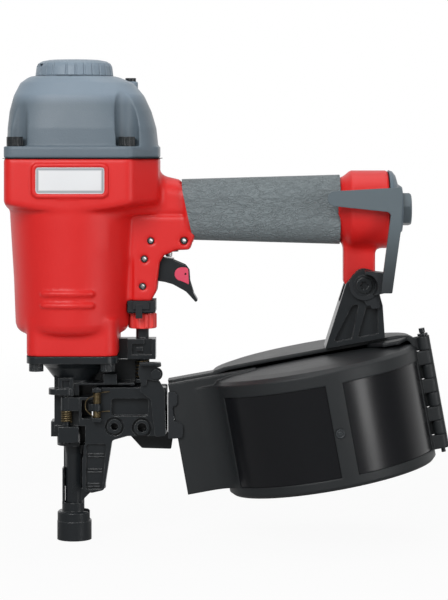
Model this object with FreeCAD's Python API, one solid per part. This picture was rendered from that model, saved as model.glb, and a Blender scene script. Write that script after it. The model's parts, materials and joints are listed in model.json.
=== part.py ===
"""Pneumatic coil nail gun, modelled as an assembly of separate pieces.

Frame: the driver axis is the Z axis, the origin is the bottom centre of the contact foot, +Z is up
towards the cylinder cap, and the handle runs towards +X. Everything is in millimetres.
"""
import FreeCAD, Part
import os
from math import cos, pi, radians, sin, sqrt, tan

V = FreeCAD.Vector
X_AXIS = V(1, 0, 0)
Y_AXIS = V(0, 1, 0)
Z_AXIS = V(0, 0, 1)

# ---- fits and clearances -------------------------------------------------------------------------
PIN_FIT = 0.05            # radial gap of a pin or shaft in its bore
RUN_GAP = 0.3             # gap between surfaces of two pieces that move past each other

# ---- driver, piston and sleeve -------------------------------------------------------------------
PISTON_R = 24.7
PISTON_H = 12.0
SLEEVE_IN_R = PISTON_R + RUN_GAP
SLEEVE_WALL = 3.0
SLEEVE_OUT_R = SLEEVE_IN_R + SLEEVE_WALL
SLEEVE_BOTTOM_Z = 134.0
SLEEVE_TOP_Z = 262.0
STROKE = 97.0
BUMPER_H = 17.0
BLADE_R = 3.2
BARREL_TIP_Z = 10.0       # end of the nose tube, where the blade's tip stops
BLADE_TIP_Z = BARREL_TIP_Z + STROKE

# ---- housing -------------------------------------------------------------------------------------
BARREL_X = -1.2           # the casting is thicker on the side away from the handle
BLOCK_HALF = 31.4         # square block that the nose bolts to
BLOCK_BOTTOM_Z = 130.2
BLOCK_TOP_Z = 153.0
BARREL_BOTTOM_Z = BLOCK_TOP_Z - 1.5
BARREL_BOTTOM_R = 39.8
BARREL_MID_Z = 183.0
BARREL_MID_R = 41.0
BARREL_TOP_Z = 225.0
BARREL_TOP_R = 43.6
HEAD_BOTTOM_Z = 230.0     # lowest point of the head block's rounded lower edge
HEAD_TOP_Z = 266.0
HEAD_FRONT = 44.0
HEAD_LEFT_X = -46.6
HEAD_RIGHT_X = 61.2
HEAD_CORNER_X = 44.0      # where the flat front turns towards the handle
HEAD_SIDE_Y = 22.0
AIR_SPACE_R = 36.0

# ---- cap -----------------------------------------------------------------------------------------
GASKET_T = 0.4
FLANGE_H = 8.1
BOLT_SHANK_R = 3.0
CAP_BOLT_HEAD_R = 5.6
CAP_BOLT_HEAD_H = 6.5
CAP_BOLT_X = (-38.3, 38.3)
CAP_BOLT_Y = 36.0
BOLT_RECESS_R = 8.4
HEAD_VALVE_R = 32.0
HEAD_VALVE_H = 18.0
HEAD_VALVE_LIFT = 5.0
HEAD_SPRING_SOLID_H = 5.7
HEAD_BORE_TOP_Z = SLEEVE_TOP_Z + RUN_GAP + HEAD_VALVE_H + HEAD_VALVE_LIFT + HEAD_SPRING_SOLID_H
EXHAUST_H = 17.0          # exhaust space above the head valve's bore
CROWN_T = 15.4
EXHAUST_TOP_Z = HEAD_BORE_TOP_Z + EXHAUST_H
CAP_TOP_Z = EXHAUST_TOP_Z + CROWN_T
EXHAUST_R = 11.0
DEFLECTOR_R = 27.2
DEFLECTOR_H = 11.0
DEFLECTOR_WALL = 2.6
DEFLECTOR_SCREW_R = 2.5

# ---- handle --------------------------------------------------------------------------------------
HANDLE_Z = 230.5
HANDLE_HALF_Y = 16.3
GRIP_T = 2.3
GRIP_LEFT_X = 83.0
GRIP_SLANT = 8.4          # how far the grip's upper left corner reaches past its lower one
GRIP_RIGHT_X = 185.3
GRIP_LEFT_HALF_H = 21.3
GRIP_RIGHT_HALF_H = 24.2
HANDLE_BORE_R = 12.5
DRUM_X = 193.0
DRUM_R = 27.2
DRUM_END_X = 219.0
END_CAP_T = 9.5
END_SEAL_T = 0.5
INLET_AF = 21.0
INLET_HEX_H = 6.4
INLET_THREAD_R = 5.6      # 1/4 NPT female
INLET_STEM_R = 9.0
INLET_STEM_L = 14.0

# ---- trigger and valve ---------------------------------------------------------------------------
TRIGGER_X = 49.4
TRIGGER_Z = 196.4
CHEEK_IN_Y = 9.0
CHEEK_OUT_Y = 15.0
PIN_OUT_R = 2.3
PIN_IN_R = 1.45
TRIGGER_HALF = 8.0
TRIGGER_WALL = 1.6
TRIGGER_BOSS_R = 4.6
STEM_X = 66.2
STEM_R = 2.4
STEM_TRAVEL = 3.5
VALVE_BODY_R = 6.6
VALVE_BODY_BOTTOM_Z = 201.0
VALVE_BODY_TOP_Z = 226.0

# ---- contact safety ------------------------------------------------------------------------------
ROD_X = BARREL_BOTTOM_R + 7.8
ROD_R = 3.0
FOOT_R = 12.0
FOOT_BORE_R = 7.2
FOOT_H = 20.0
FOOT_TRAVEL = 9.0
COLLAR_R = 8.6
COLLAR_H = 6.0
KNOB_R = 10.0
KNOB_BOTTOM_Z = 147.5
KNOB_H = 10.6
KNOB_STEM_R = 4.5
LINK_T = 2.5
LINK_Y = 12.5             # near face of the flat link behind the nose
LINK_TOP_Z = 112.0
LINK_BAR_H = 6.5
BAR_TOP_Z = 181.5
BAR_BOTTOM_Z = KNOB_BOTTOM_Z + KNOB_H + RUN_GAP
BAR_X = (ROD_X - 4.4, ROD_X + 5.4)
BAR_HALF = 2.0
GUIDE_BOTTOM_Z = 126.4
LINK_UPSTAND_Z = GUIDE_BOTTOM_Z + 2.0   # top of the link's guard behind the spring
GUIDE_TOP_Z = 140.4
YOKE_Z = (158.9, 167.4)      # black yoke under the cheeks

# ---- nose ----------------------------------------------------------------------------------------
NOSE_FLANGE_T = 4.6
NOSE_GASKET_T = 0.4
BARREL_R = 6.3
DRIVE_R = 3.6             # bore that guides the blade and the nail
TRACK_HALF = 3.6          # half the gap that the nails feed through
NOSE_BOLT_XY = 24.6
NOSE_BOLT_HEAD_R = 5.0
NOSE_BOLT_HEAD_H = 5.5
FEED_Z = (60.0, 107.0)
FEED_END_X = 65.0

# ---- nose door -----------------------------------------------------------------------------------
DOOR_PIN_X = -4.6
DOOR_PIN_Y = -13.0
DOOR_PIN_R = 2.0
KNUCKLE_R = 4.0
DOOR_FRONT_Y = -17.0
DOOR_TOP_Z = 107.5
DOOR_BOTTOM_Z = 74.0
DOOR_LEFT_X = 4.3
DOOR_RIGHT_X = 65.2
TONGUE_BOTTOM_Z = 34.6
PAWL_PIN_X = 16.9
PAWL_PIN_Y = -20.5
PAWL_PIN_R = 1.5
LATCH_X = 57.8
LATCH_Z = 117.5

# ---- magazine ------------------------------------------------------------------------------------
MAG_TILT = 10.3
MAG_X = 181.0             # bottom centre of the drum
MAG_Z = 45.0
MAG_R = 73.0
MAG_WALL = 2.6
MAG_SPLIT = -8.0          # the door is the half in front of this plane
NECK_U = -101.6           # end of the neck, beside the nose's feed guide
NECK_V = (6.8, 84.4)
NECK_FRONT = -18.0
NECK_BACK = 9.0
NECK_FILLET_R = 20.0
HINGE_U = MAG_R + 5.5
HINGE_W = -8.0
HINGE_R = 4.4
HINGE_PIN_R = 1.5
POST_R = 4.5
TRAY_R = 62.0
TRAY_V = 8.2
TRAY_LIFT = 26.0
TRAY_T = 3.0
TRAY_HUB_H = 12.0
POST_SPARE = 24.0         # post left above the hub when the tray is at the top

# ---- magazine arm and belt hook ------------------------------------------------------------------
ARM_X = 201.7
ARM_Z = 178.3
LUG_HALF = 8.0
LUG_X = (188.0, 210.0)
EAR_R = 11.0
EAR_T = 5.5
ARM_SCREW_R = 4.0
HOOK_T = 3.5
HOOK_FRONT = -37.0

MAG_FRAME = FreeCAD.Placement(V(MAG_X, 0, MAG_Z), FreeCAD.Rotation(Y_AXIS, -MAG_TILT))


# ==== small helpers ===============================================================================
def box(x0, x1, y0, y1, z0, z1):
    """Block between two corners."""
    return Part.makeBox(x1 - x0, y1 - y0, z1 - z0, V(x0, y0, z0))


def rod(radius, start, end):
    """Solid cylinder from one point to another."""
    way = V(*end) - V(*start)
    return Part.makeCylinder(radius, way.Length, V(*start), way)


def tube(outer, inner, start, end):
    """Hollow cylinder from one point to another."""
    return rod(outer, start, end).cut(rod(inner, start, end))


def cone(r0, r1, start, end):
    """Cone from radius r0 at start to radius r1 at end."""
    way = V(*end) - V(*start)
    return Part.makeCone(r0, r1, way.Length, V(*start), way)


def place(plane, a, b, level):
    """Point of a flat outline: XY, XZ or YZ plane at a level."""
    if plane == "XY":
        return V(a, b, level)
    if plane == "XZ":
        return V(a, level, b)
    return V(level, a, b)


def corner_arc(before, point, after, radius):
    """Tangent points and the middle point of a rounded corner."""
    back = (before - point).normalize()
    ahead = (after - point).normalize()
    half = back.getAngle(ahead) / 2
    reach = radius / tan(half)
    middle = (back + ahead).normalize()
    centre = point + middle * (radius / sin(half))
    return point + back * reach, centre - middle * radius, point + ahead * reach


def outline(points, plane, level):
    """Closed wire through (a, b) or (a, b, corner radius) points."""
    spots = [place(plane, p[0], p[1], level) for p in points]
    radii = [p[2] if len(p) > 2 else 0 for p in points]
    edges = []
    ends = []
    count = len(points)
    for i in range(count):
        if radii[i] > 0:
            first, mid, last = corner_arc(spots[i - 1], spots[i], spots[(i + 1) % count], radii[i])
            ends.append((first, last, mid))
        else:
            ends.append((spots[i], spots[i], None))
    for i in range(count):
        first, last, mid = ends[i]
        if mid is not None:
            edges.append(Part.Arc(first, mid, last).toShape())
        start = ends[(i + 1) % count][0]
        if (start - last).Length > 1e-4:
            edges.append(Part.LineSegment(last, start).toShape())
    return Part.Wire(edges)


def plate(points, plane, low, high):
    """Flat piece with rounded corners, between two levels of the plane's normal."""
    normal = {"XY": Z_AXIS, "XZ": Y_AXIS, "YZ": X_AXIS}[plane]
    return Part.Face(outline(points, plane, low)).extrude(normal * (high - low))


def rounded(x0, x1, y0, y1, radius):
    """Corner list of a rounded rectangle."""
    return [(x0, y0, radius), (x1, y0, radius), (x1, y1, radius), (x0, y1, radius)]


def turned(profile, centre=(0, 0)):
    """Solid of revolution about a vertical axis from (radius, z) points."""
    spots = [V(centre[0] + r, centre[1], z) for r, z in profile]
    face = Part.Face(Part.makePolygon(spots + spots[:1]))
    return face.revolve(V(centre[0], centre[1], 0), Z_AXIS, 360)


def turned_x(profile, z):
    """Solid of revolution about an axis along X at height z from (x, radius) points."""
    spots = [V(x, 0, z + r) for x, r in profile]
    face = Part.Face(Part.makePolygon(spots + spots[:1]))
    return face.revolve(V(0, 0, z), X_AXIS, 360)


def oval(z, x0, x1, half_y, power):
    """Closed smooth section of a dome, between x0 and x1 and plus or minus half_y."""
    count = 32
    spots = []
    for i in range(count):
        c = cos(2 * pi * i / count)
        s = sin(2 * pi * i / count)
        reach = (abs(c) ** power + abs(s) ** power) ** (-1 / power)
        spots.append(V((x0 + x1) / 2 + (x1 - x0) / 2 * reach * c, half_y * reach * s, z))
    curve = Part.BSplineCurve()
    curve.interpolate(spots, PeriodicFlag=True)
    return Part.Wire(curve.toShape())


def coil(radius, wire, pitch, start, end):
    """Helical spring from start to end, with a six-sided wire of the given outer radius."""
    way = V(*end) - V(*start)
    rise = way.Length - 2 * wire
    count = max(12, int(12 * rise / pitch))
    rings = []
    for i in range(count + 1):
        a = 2 * pi * rise / pitch * i / count
        ring = []
        for j in range(6):
            b = pi / 3 * j
            reach = radius + wire * cos(b)
            ring.append(V(reach * cos(a), reach * sin(a), wire + rise * i / count + wire * sin(b)))
        rings.append(ring)
    faces = [Part.Face(Part.makePolygon(ring + ring[:1])) for ring in (rings[0], rings[-1])]
    for low, high in zip(rings, rings[1:]):
        for j in range(6):
            k = (j + 1) % 6
            faces.append(Part.Face(Part.makePolygon([low[j], low[k], high[j], low[j]])))
            faces.append(Part.Face(Part.makePolygon([low[k], high[k], high[j], low[k]])))
    spring = Part.makeSolid(Part.makeShell(faces))
    if spring.Volume < 0:
        spring.reverse()
    spring.Placement = FreeCAD.Placement(V(*start), FreeCAD.Rotation(Z_AXIS, way))
    return spring


def in_magazine(shape):
    """Move a piece from the magazine's own frame into the tool's frame."""
    moved = shape.copy()
    moved.Placement = MAG_FRAME.multiply(moved.Placement)
    return moved


def save(name, *shapes):
    """Write one node, made of one or more separate solids."""
    solids = [s for shape in shapes for s in shape.Solids]
    whole = solids[0] if len(solids) == 1 else Part.makeCompound(solids)
    if not whole.isValid() or not solids:
        raise ValueError(name + " is not a valid solid")
    whole.exportStep("parts/" + name + ".step")
    print(name, len(solids), "solid(s)", round(sum(s.Volume for s in solids) / 1000, 2), "cm3")


# ==== housing =====================================================================================
HEAD_SLOPE = 3.2          # how fast the head block's underside widens upwards
BLOCK_CORNER_R = 9.0
SLEEVE_SEAT_TOP_Z = 150.0
RETURN_PORT_Z = SLEEVE_SEAT_TOP_Z + 6.0
COLLAR_SLEEVE_Z = (HEAD_BOTTOM_Z + 14.0, HEAD_BOTTOM_Z + 18.0)
THROAT_R = 9.0
NECK_SECTIONS = (         # x, half width, bottom z, top z, corner radius
    (18.0, 34.0, 194.0, 256.0, 14.0),
    (44.0, 23.0, 197.0, 256.0, 14.0),
    (60.0, 14.4, 201.0, 254.5, 13.0),
    (74.0, 14.4, 204.5, 251.2, 13.0),
    (88.0, 16.2, 210.5, 249.6, 13.0),
)
CHEEK_BOTTOM_Z = 167.4
CHEEK_TOP_Z = 226.0
CHEEK_X = 30.0
PANEL_X = 41.6            # left edge of the raised panel on the cheek
PANEL_RISE = 2.0
CHEEK_SIDE = (
    (53.8, CHEEK_BOTTOM_Z, 1.5), (57.7, 174.0, 3.0), (58.6, 183.0, 6.0), (59.9, 194.0, 4.0),
    (62.9, 199.0, 5.0), (71.7, 202.6, 4.0), (80.4, 203.0, 2.0), (84.5, 213.0, 2.0), (84.0, 219.0, 4.0),
    (78.0, CHEEK_TOP_Z, 5.0),
)
RELIEF_X = (CHEEK_X, 76.0)
ROLL_PINS = ((53.8, 209.0), (76.9, 209.0), (TRIGGER_X, TRIGGER_Z), (ROD_X + 0.6, 177.4))
PIN_RECESS_R = 3.4
TRIGGER_SLOT_X = (41.0, 64.0)
TRIGGER_SLOT_TOP_Z = 203.2
PLATE_X = (-23.7, 23.7)
PLATE_Z = (242.0, 260.4)
PLATE_T = 0.8
PLATE_CORNER_R = 2.4
FRAME_W = 2.6
FRAME_RISE = 2.0
RIBS_Z = (173.7, 165.6)
RIB_X = (-18.0, 18.0)
RIB_R = 2.1
SCREW_DEPTH = 22.0
NOSE_SCREW_DEPTH = 16.0
NOSE_BOLT_R = 2.5


def head_outline():
    """Plan outline shared by the head block, the gasket and the cap flange."""
    return [
        (HEAD_LEFT_X, -HEAD_FRONT, 8.0), (HEAD_CORNER_X, -HEAD_FRONT, 9.0),
        (HEAD_RIGHT_X, -HEAD_SIDE_Y, 10.0), (HEAD_RIGHT_X, HEAD_SIDE_Y, 10.0),
        (HEAD_CORNER_X, HEAD_FRONT, 9.0), (HEAD_LEFT_X, HEAD_FRONT, 8.0),
    ]


def head_block():
    """Square head of the casting, with an underside that rises towards its corners."""
    prism = plate(head_outline(), "XY", HEAD_BOTTOM_Z - 6, HEAD_TOP_Z)
    low_r = HEAD_FRONT - HEAD_SLOPE * 3
    high_r = low_r + HEAD_SLOPE * (HEAD_TOP_Z - HEAD_BOTTOM_Z + 3)
    funnel = turned([(0, HEAD_BOTTOM_Z - 3), (low_r, HEAD_BOTTOM_Z - 3), (high_r, HEAD_TOP_Z),
                     (0, HEAD_TOP_Z)],
                    (BARREL_X, 0))
    return prism.common(funnel)


def barrel():
    """Round barrel and the square block under it."""
    neck_z = BARREL_BOTTOM_Z - 8
    shell = turned([
        (0, neck_z), (BARREL_BOTTOM_R - 7, neck_z), (BARREL_BOTTOM_R, BARREL_BOTTOM_Z),
        (BARREL_MID_R, BARREL_MID_Z), (BARREL_TOP_R, BARREL_TOP_Z), (BARREL_TOP_R, HEAD_TOP_Z - 2),
        (0, HEAD_TOP_Z - 2)], (BARREL_X, 0))
    block = plate(rounded(-BLOCK_HALF, BLOCK_HALF, -BLOCK_HALF, BLOCK_HALF, BLOCK_CORNER_R),
                  "XY", BLOCK_BOTTOM_Z, BLOCK_TOP_Z)
    return shell.fuse(block)


def section(x, half_y, z0, z1, radius):
    """Rounded rectangle across the handle."""
    return outline(rounded(-half_y, half_y, z0, z1, radius), "YZ", x)


def handle_section(x, skin):
    """Handle outline at x, thicker by skin all round."""
    along = (x - GRIP_LEFT_X) / (GRIP_RIGHT_X - GRIP_LEFT_X)
    half_h = GRIP_LEFT_HALF_H + along * (GRIP_RIGHT_HALF_H - GRIP_LEFT_HALF_H) - GRIP_T + skin
    half_y = HANDLE_HALF_Y + skin
    return section(x, half_y, HANDLE_Z - half_h, HANDLE_Z + half_h, 13.0 + skin)


def handle_core(skin, x0, x1):
    """Handle body between two places along it."""
    return Part.makeLoft([handle_section(x0, skin), handle_section(x1, skin)], True, True)


def handle_end():
    """Flared drum at the end of the handle."""
    return turned_x([(GRIP_RIGHT_X - 3, 0), (GRIP_RIGHT_X - 3, 18), (GRIP_RIGHT_X, 21), (DRUM_X, DRUM_R),
                     (DRUM_END_X, DRUM_R), (DRUM_END_X, 0)], HANDLE_Z)


def arm_lug():
    """Lug under the drum that carries the magazine arm."""
    x0, x1 = LUG_X
    lug = plate([(x0, HANDLE_Z - 12), (x0, ARM_Z - 2, 2), (ARM_X - 4, ARM_Z - EAR_R + 1, 6),
                 (x1, ARM_Z - EAR_R + 1, 7), (x1, HANDLE_Z - 12)], "XZ", -LUG_HALF, LUG_HALF)
    return lug.cut(rod(ARM_SCREW_R, (ARM_X, -LUG_HALF - 1, ARM_Z), (ARM_X, LUG_HALF + 1, ARM_Z)))


def cheek_side(left_x, corner):
    """Side view of a cheek, from its left edge to the trigger's opening."""
    return [(left_x, CHEEK_BOTTOM_Z, corner)] + list(CHEEK_SIDE) + [(left_x, CHEEK_TOP_Z, corner)]


def cheeks():
    """The two cheeks beside the trigger, each with a raised flat panel."""
    made = []
    for side in (-1, 1):
        wall = sorted((side * CHEEK_IN_Y, side * (CHEEK_OUT_Y - PANEL_RISE)))
        panel = sorted((side * CHEEK_IN_Y, side * CHEEK_OUT_Y))
        made.append(plate(cheek_side(CHEEK_X, 0), "XZ", *wall))
        made.append(plate(cheek_side(PANEL_X, 2.0), "XZ", *panel))
    return made


def neck():
    """Neck between barrel and handle, set back round the panels."""
    body = Part.makeLoft([section(*s) for s in NECK_SECTIONS], True, False)
    x0, x1 = RELIEF_X
    face = CHEEK_OUT_Y - PANEL_RISE
    return body.cut(Part.makeCompound([
        box(x0, x1, -40, -face, 190, CHEEK_TOP_Z + 0.6), box(x0, x1, face, 40, 190, CHEEK_TOP_Z + 0.6)]))


def plate_frame():
    """Raised frame round the nameplate."""
    x0, x1 = PLATE_X
    z0, z1 = PLATE_Z
    outer = plate(rounded(x0 - FRAME_W, x1 + FRAME_W, z0 - FRAME_W, z1 + FRAME_W, PLATE_CORNER_R + FRAME_W),
                  "XZ", -HEAD_FRONT - FRAME_RISE, -HEAD_FRONT + 1)
    inner = plate(rounded(x0, x1, z0, z1, PLATE_CORNER_R), "XZ", -HEAD_FRONT - FRAME_RISE - 1, -HEAD_FRONT)
    return outer.cut(inner)


def ribs():
    """Two round-ended ribs on the front of the barrel."""
    made = []
    for z in RIBS_Z:
        radius = BARREL_MID_R - (BARREL_MID_Z - z) / 28
        ring = turned([(radius - 4, z - RIB_R), (radius + 1.0, z - RIB_R), (radius + 1.8, z - RIB_R + 1),
                       (radius + 1.8, z + RIB_R - 1), (radius + 1.0, z + RIB_R), (radius - 4, z + RIB_R)],
                      (BARREL_X, 0))
        x0, x1 = RIB_X
        window = plate(rounded(x0, x1, z - RIB_R - 0.2, z + RIB_R + 0.2, RIB_R), "XZ", -60, -20)
        made.append(ring.common(window))
    return made


def main_housing():
    """One casting: barrel, head block, neck, valve cheeks, hollow handle and arm lug."""
    face = CHEEK_OUT_Y - PANEL_RISE
    bridge = box(CHEEK_X, 82, -face, face, VALVE_BODY_BOTTOM_Z + 3, CHEEK_TOP_Z - 4)
    shell = barrel().multiFuse([head_block(), neck(), handle_core(0, 80, GRIP_RIGHT_X + 4), handle_end(),
                                arm_lug(), bridge] + cheeks() + ribs() + [plate_frame()])
    cuts = [
        rod(SLEEVE_OUT_R, (0, 0, SLEEVE_BOTTOM_Z), (0, 0, HEAD_TOP_Z + 1)),
        rod(AIR_SPACE_R, (0, 0, SLEEVE_SEAT_TOP_Z + 2), (0, 0, HEAD_TOP_Z + 1)),
        rod(THROAT_R, (0, 0, BLOCK_BOTTOM_Z - 1), (0, 0, SLEEVE_BOTTOM_Z + 1)),
        rod(HANDLE_BORE_R, (20, 0, HANDLE_Z), (DRUM_END_X + 1, 0, HANDLE_Z)),
        rod(VALVE_BODY_R, (STEM_X, 0, VALVE_BODY_BOTTOM_Z - 2), (STEM_X, 0, HANDLE_Z)),
        box(TRIGGER_SLOT_X[0], TRIGGER_SLOT_X[1], -CHEEK_IN_Y, CHEEK_IN_Y, CHEEK_BOTTOM_Z + 1,
            TRIGGER_SLOT_TOP_Z),
        rod(KNOB_R + 2 * RUN_GAP, (ROD_X, 0, KNOB_BOTTOM_Z - 1), (ROD_X, 0, KNOB_BOTTOM_Z + KNOB_H + 1)),
        grip_sleeve(),
    ]
    for x in CAP_BOLT_X:
        for y in (-CAP_BOLT_Y, CAP_BOLT_Y):
            cuts.append(rod(BOLT_SHANK_R, (x, y, HEAD_TOP_Z - SCREW_DEPTH), (x, y, HEAD_TOP_Z + 1)))
    for x in (-NOSE_BOLT_XY, NOSE_BOLT_XY):
        for y in (-NOSE_BOLT_XY, NOSE_BOLT_XY):
            cuts.append(rod(NOSE_BOLT_R, (x, y, BLOCK_BOTTOM_Z - 1),
                            (x, y, BLOCK_BOTTOM_Z + NOSE_SCREW_DEPTH)))
    for x, z in ROLL_PINS:
        cuts.append(rod(PIN_OUT_R, (x, -CHEEK_OUT_Y - 20, z), (x, CHEEK_OUT_Y + 20, z)))
    x, z = ROLL_PINS[1]
    cuts.append(rod(PIN_RECESS_R, (x, -30, z), (x, -CHEEK_OUT_Y + 0.6, z)))
    return shell.cut(Part.makeCompound(cuts))


def nameplate():
    x0, x1 = PLATE_X
    z0, z1 = PLATE_Z
    return plate(rounded(x0 + 0.1, x1 - 0.1, z0 + 0.1, z1 - 0.1, PLATE_CORNER_R), "XZ",
                 -HEAD_FRONT - PLATE_T, -HEAD_FRONT)


def roll_pins():
    """Hollow pins that go through both cheeks; the trigger turns on one of them."""
    return [tube(PIN_OUT_R, PIN_IN_R, (x, -CHEEK_OUT_Y, z), (x, CHEEK_OUT_Y, z)) for x, z in ROLL_PINS]


# ==== cap and head ================================================================================
FLANGE_BOTTOM_Z = HEAD_TOP_Z + GASKET_T
FLANGE_TOP_Z = FLANGE_BOTTOM_Z + FLANGE_H
DOME = (                  # share of the dome's height, left x, right x, half width, roundness
    (0.0, -46.2, 58.6, 41.8, 3.4),
    (0.26, -45.8, 57.2, 41.2, 3.3),
    (0.50, -44.6, 53.8, 38.6, 3.1),
    (0.72, -41.9, 48.8, 35.4, 2.9),
    (0.90, -37.6, 41.5, 31.0, 2.6),
    (1.0, -31.0, 30.0, 27.6, 2.3),
)
PORT_COUNT = 6
PORT_R = 3.4
PORT_RING_R = 10.6
VENT_BOSS = (38.5, 20.0)
VENT_BOSS_R = 5.2
VENT_BOSS_TOP_Z = CAP_TOP_Z - 2.9
HEAD_SPRING_R = 20.0
SPRING_WIRE_R = 1.0
GROOVE_ANGLES = (180, 214, 227, 240, 262, 276, 289, 302, 315, 328, 341, 354, 7, 20, 33, 46, 59, 72, 85)
GROOVE_R = 0.9


def cap_screw_places():
    return [(x, y) for x in CAP_BOLT_X for y in (-CAP_BOLT_Y, CAP_BOLT_Y)]


def dome_z(share):
    return FLANGE_TOP_Z + share * (CAP_TOP_Z - FLANGE_TOP_Z)


def cylinder_cap():
    """Dome on a flange, with a recess over each bolt and the head valve's bore inside."""
    dome = Part.makeLoft([oval(dome_z(s), x0, x1, y, p) for s, x0, x1, y, p in DOME], True, False)
    flange = plate(head_outline(), "XY", FLANGE_BOTTOM_Z, FLANGE_TOP_Z)
    x, y = VENT_BOSS
    boss = rod(VENT_BOSS_R, (x, y, CAP_TOP_Z - 26), (x, y, VENT_BOSS_TOP_Z))
    nub = rod(2.6, (45.5, 14, CAP_TOP_Z - 30), (45.5, 14, CAP_TOP_Z - 12.5))
    dome = dome.cut(Part.makeCompound(
        [rod(BOLT_RECESS_R, (bx, by, FLANGE_TOP_Z), (bx, by, CAP_TOP_Z)) for bx, by in cap_screw_places()]))
    cap = flange.multiFuse([dome, boss, nub])
    cuts = [
        rod(HEAD_VALVE_R + RUN_GAP, (0, 0, FLANGE_BOTTOM_Z - 1), (0, 0, HEAD_BORE_TOP_Z)),
        rod(EXHAUST_R, (0, 0, HEAD_BORE_TOP_Z - 1), (0, 0, EXHAUST_TOP_Z)),
        rod(DEFLECTOR_SCREW_R, (0, 0, EXHAUST_TOP_Z - 1), (0, 0, CAP_TOP_Z + 1)),
        rod(1.6, (x, y, VENT_BOSS_TOP_Z - 8), (x, y, VENT_BOSS_TOP_Z + 1)),
    ]
    for i in range(PORT_COUNT):
        a = 2 * pi * i / PORT_COUNT
        px, py = PORT_RING_R * cos(a), PORT_RING_R * sin(a)
        cuts.append(rod(PORT_R, (px, py, EXHAUST_TOP_Z - 4), (px, py, CAP_TOP_Z + 1)))
    for bx, by in cap_screw_places():
        cuts.append(rod(BOLT_SHANK_R, (bx, by, FLANGE_BOTTOM_Z - 1), (bx, by, FLANGE_TOP_Z + 1)))
    return cap.cut(Part.makeCompound(cuts))


def vent_screw():
    """Small screw in the boss on the far side of the dome."""
    x, y = VENT_BOSS
    head = rod(3.8, (x, y, VENT_BOSS_TOP_Z), (x, y, VENT_BOSS_TOP_Z + 2.4))
    return head.fuse(rod(1.6, (x, y, VENT_BOSS_TOP_Z - 7), (x, y, VENT_BOSS_TOP_Z))).cut(
        rod(1.7, (x, y, VENT_BOSS_TOP_Z + 1), (x, y, VENT_BOSS_TOP_Z + 3)))


def cap_gasket():
    ring = plate(head_outline(), "XY", HEAD_TOP_Z, FLANGE_BOTTOM_Z)
    holes = [rod(AIR_SPACE_R + 1, (0, 0, HEAD_TOP_Z - 1), (0, 0, FLANGE_BOTTOM_Z + 1))]
    for x, y in cap_screw_places():
        holes.append(rod(BOLT_SHANK_R + 0.2, (x, y, HEAD_TOP_Z - 1), (x, y, FLANGE_BOTTOM_Z + 1)))
    return ring.cut(Part.makeCompound(holes))


def socket_bolt(place_at, head_r, head_h, shank_r, length, way):
    """Knurled socket head bolt; the head stands at place_at and the shank runs along way."""
    x, y, z = place_at
    head = rod(head_r, (x, y, z), (x, y, z - way * head_h))
    notches = []
    for i in range(18):
        a = 2 * pi * i / 18
        nx, ny = x + head_r * cos(a), y + head_r * sin(a)
        notches.append(rod(0.35, (nx, ny, z - way), (nx, ny, z - way * (head_h - 0.8))))
    hexagon = [(x + head_r * 0.55 * cos(pi / 3 * i), y + head_r * 0.55 * sin(pi / 3 * i)) for i in range(6)]
    low, high = sorted((z - way * head_h * 0.45, z - way * (head_h + 1)))
    socket = plate(hexagon, "XY", low, high)
    return head.cut(Part.makeCompound(notches)).cut(socket).fuse(rod(shank_r, (x, y, z),
                                                                     (x, y, z + way * length)))


def cap_bolts():
    """Four bolts that hold the cap down, and the small screw in the vent boss."""
    length = FLANGE_TOP_Z - HEAD_TOP_Z + SCREW_DEPTH - 1
    bolts = [socket_bolt((x, y, FLANGE_TOP_Z), CAP_BOLT_HEAD_R, CAP_BOLT_HEAD_H, BOLT_SHANK_R, length, -1)
             for x, y in cap_screw_places()]
    return bolts + [vent_screw()]


def cylinder_sleeve():
    """Liner that the piston runs in, with a spoked collar that centres it in the casting."""
    body = tube(SLEEVE_OUT_R, SLEEVE_IN_R, (0, 0, SLEEVE_BOTTOM_Z), (0, 0, SLEEVE_TOP_Z))
    low, high = COLLAR_SLEEVE_Z
    collar = tube(AIR_SPACE_R, SLEEVE_OUT_R - 1, (0, 0, low), (0, 0, high))
    ring_r = (AIR_SPACE_R + SLEEVE_OUT_R) / 2
    port_r = (AIR_SPACE_R - SLEEVE_OUT_R) * 0.3
    ports = []
    for i in range(8):
        a = 2 * pi * (i + 0.5) / 8
        c, s = cos(a), sin(a)
        ports.append(rod(port_r, (ring_r * c, ring_r * s, low - 1), (ring_r * c, ring_r * s, high + 1)))
        ports.append(rod(1.8, ((SLEEVE_IN_R - 4) * c, (SLEEVE_IN_R - 4) * s, RETURN_PORT_Z),
                         ((SLEEVE_OUT_R + 2) * c, (SLEEVE_OUT_R + 2) * s, RETURN_PORT_Z)))
    return body.fuse(collar).cut(Part.makeCompound(ports))


def sleeve_seals():
    """Two rubber rings in the air space, one over the seat and one over the collar."""
    return [tube(AIR_SPACE_R, SLEEVE_OUT_R, (0, 0, z), (0, 0, z + 2.4))
            for z in (SLEEVE_SEAT_TOP_Z + 2, RETURN_PORT_Z + 4)]


def bumper():
    """Rubber buffer that stops the piston."""
    return tube(SLEEVE_IN_R, BLADE_R + 1.8, (0, 0, SLEEVE_BOTTOM_Z), (0, 0, SLEEVE_BOTTOM_Z + BUMPER_H))


PISTON_BOTTOM_Z = SLEEVE_BOTTOM_Z + BUMPER_H + STROKE + RUN_GAP


def piston():
    """Piston with a groove for its ring."""
    top = PISTON_BOTTOM_Z + PISTON_H
    groove = PISTON_BOTTOM_Z + PISTON_H / 2 - 1.5
    body = turned([
        (0, PISTON_BOTTOM_Z), (PISTON_R, PISTON_BOTTOM_Z), (PISTON_R, groove), (PISTON_R - 2.5, groove),
        (PISTON_R - 2.5, groove + 3), (PISTON_R, groove + 3), (PISTON_R, top), (0, top)])
    return body.cut(rod(15, (0, 0, top - 4), (0, 0, top + 1))).cut(
        rod(BLADE_R, (0, 0, PISTON_BOTTOM_Z - 1), (0, 0, top + 1)))


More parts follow.
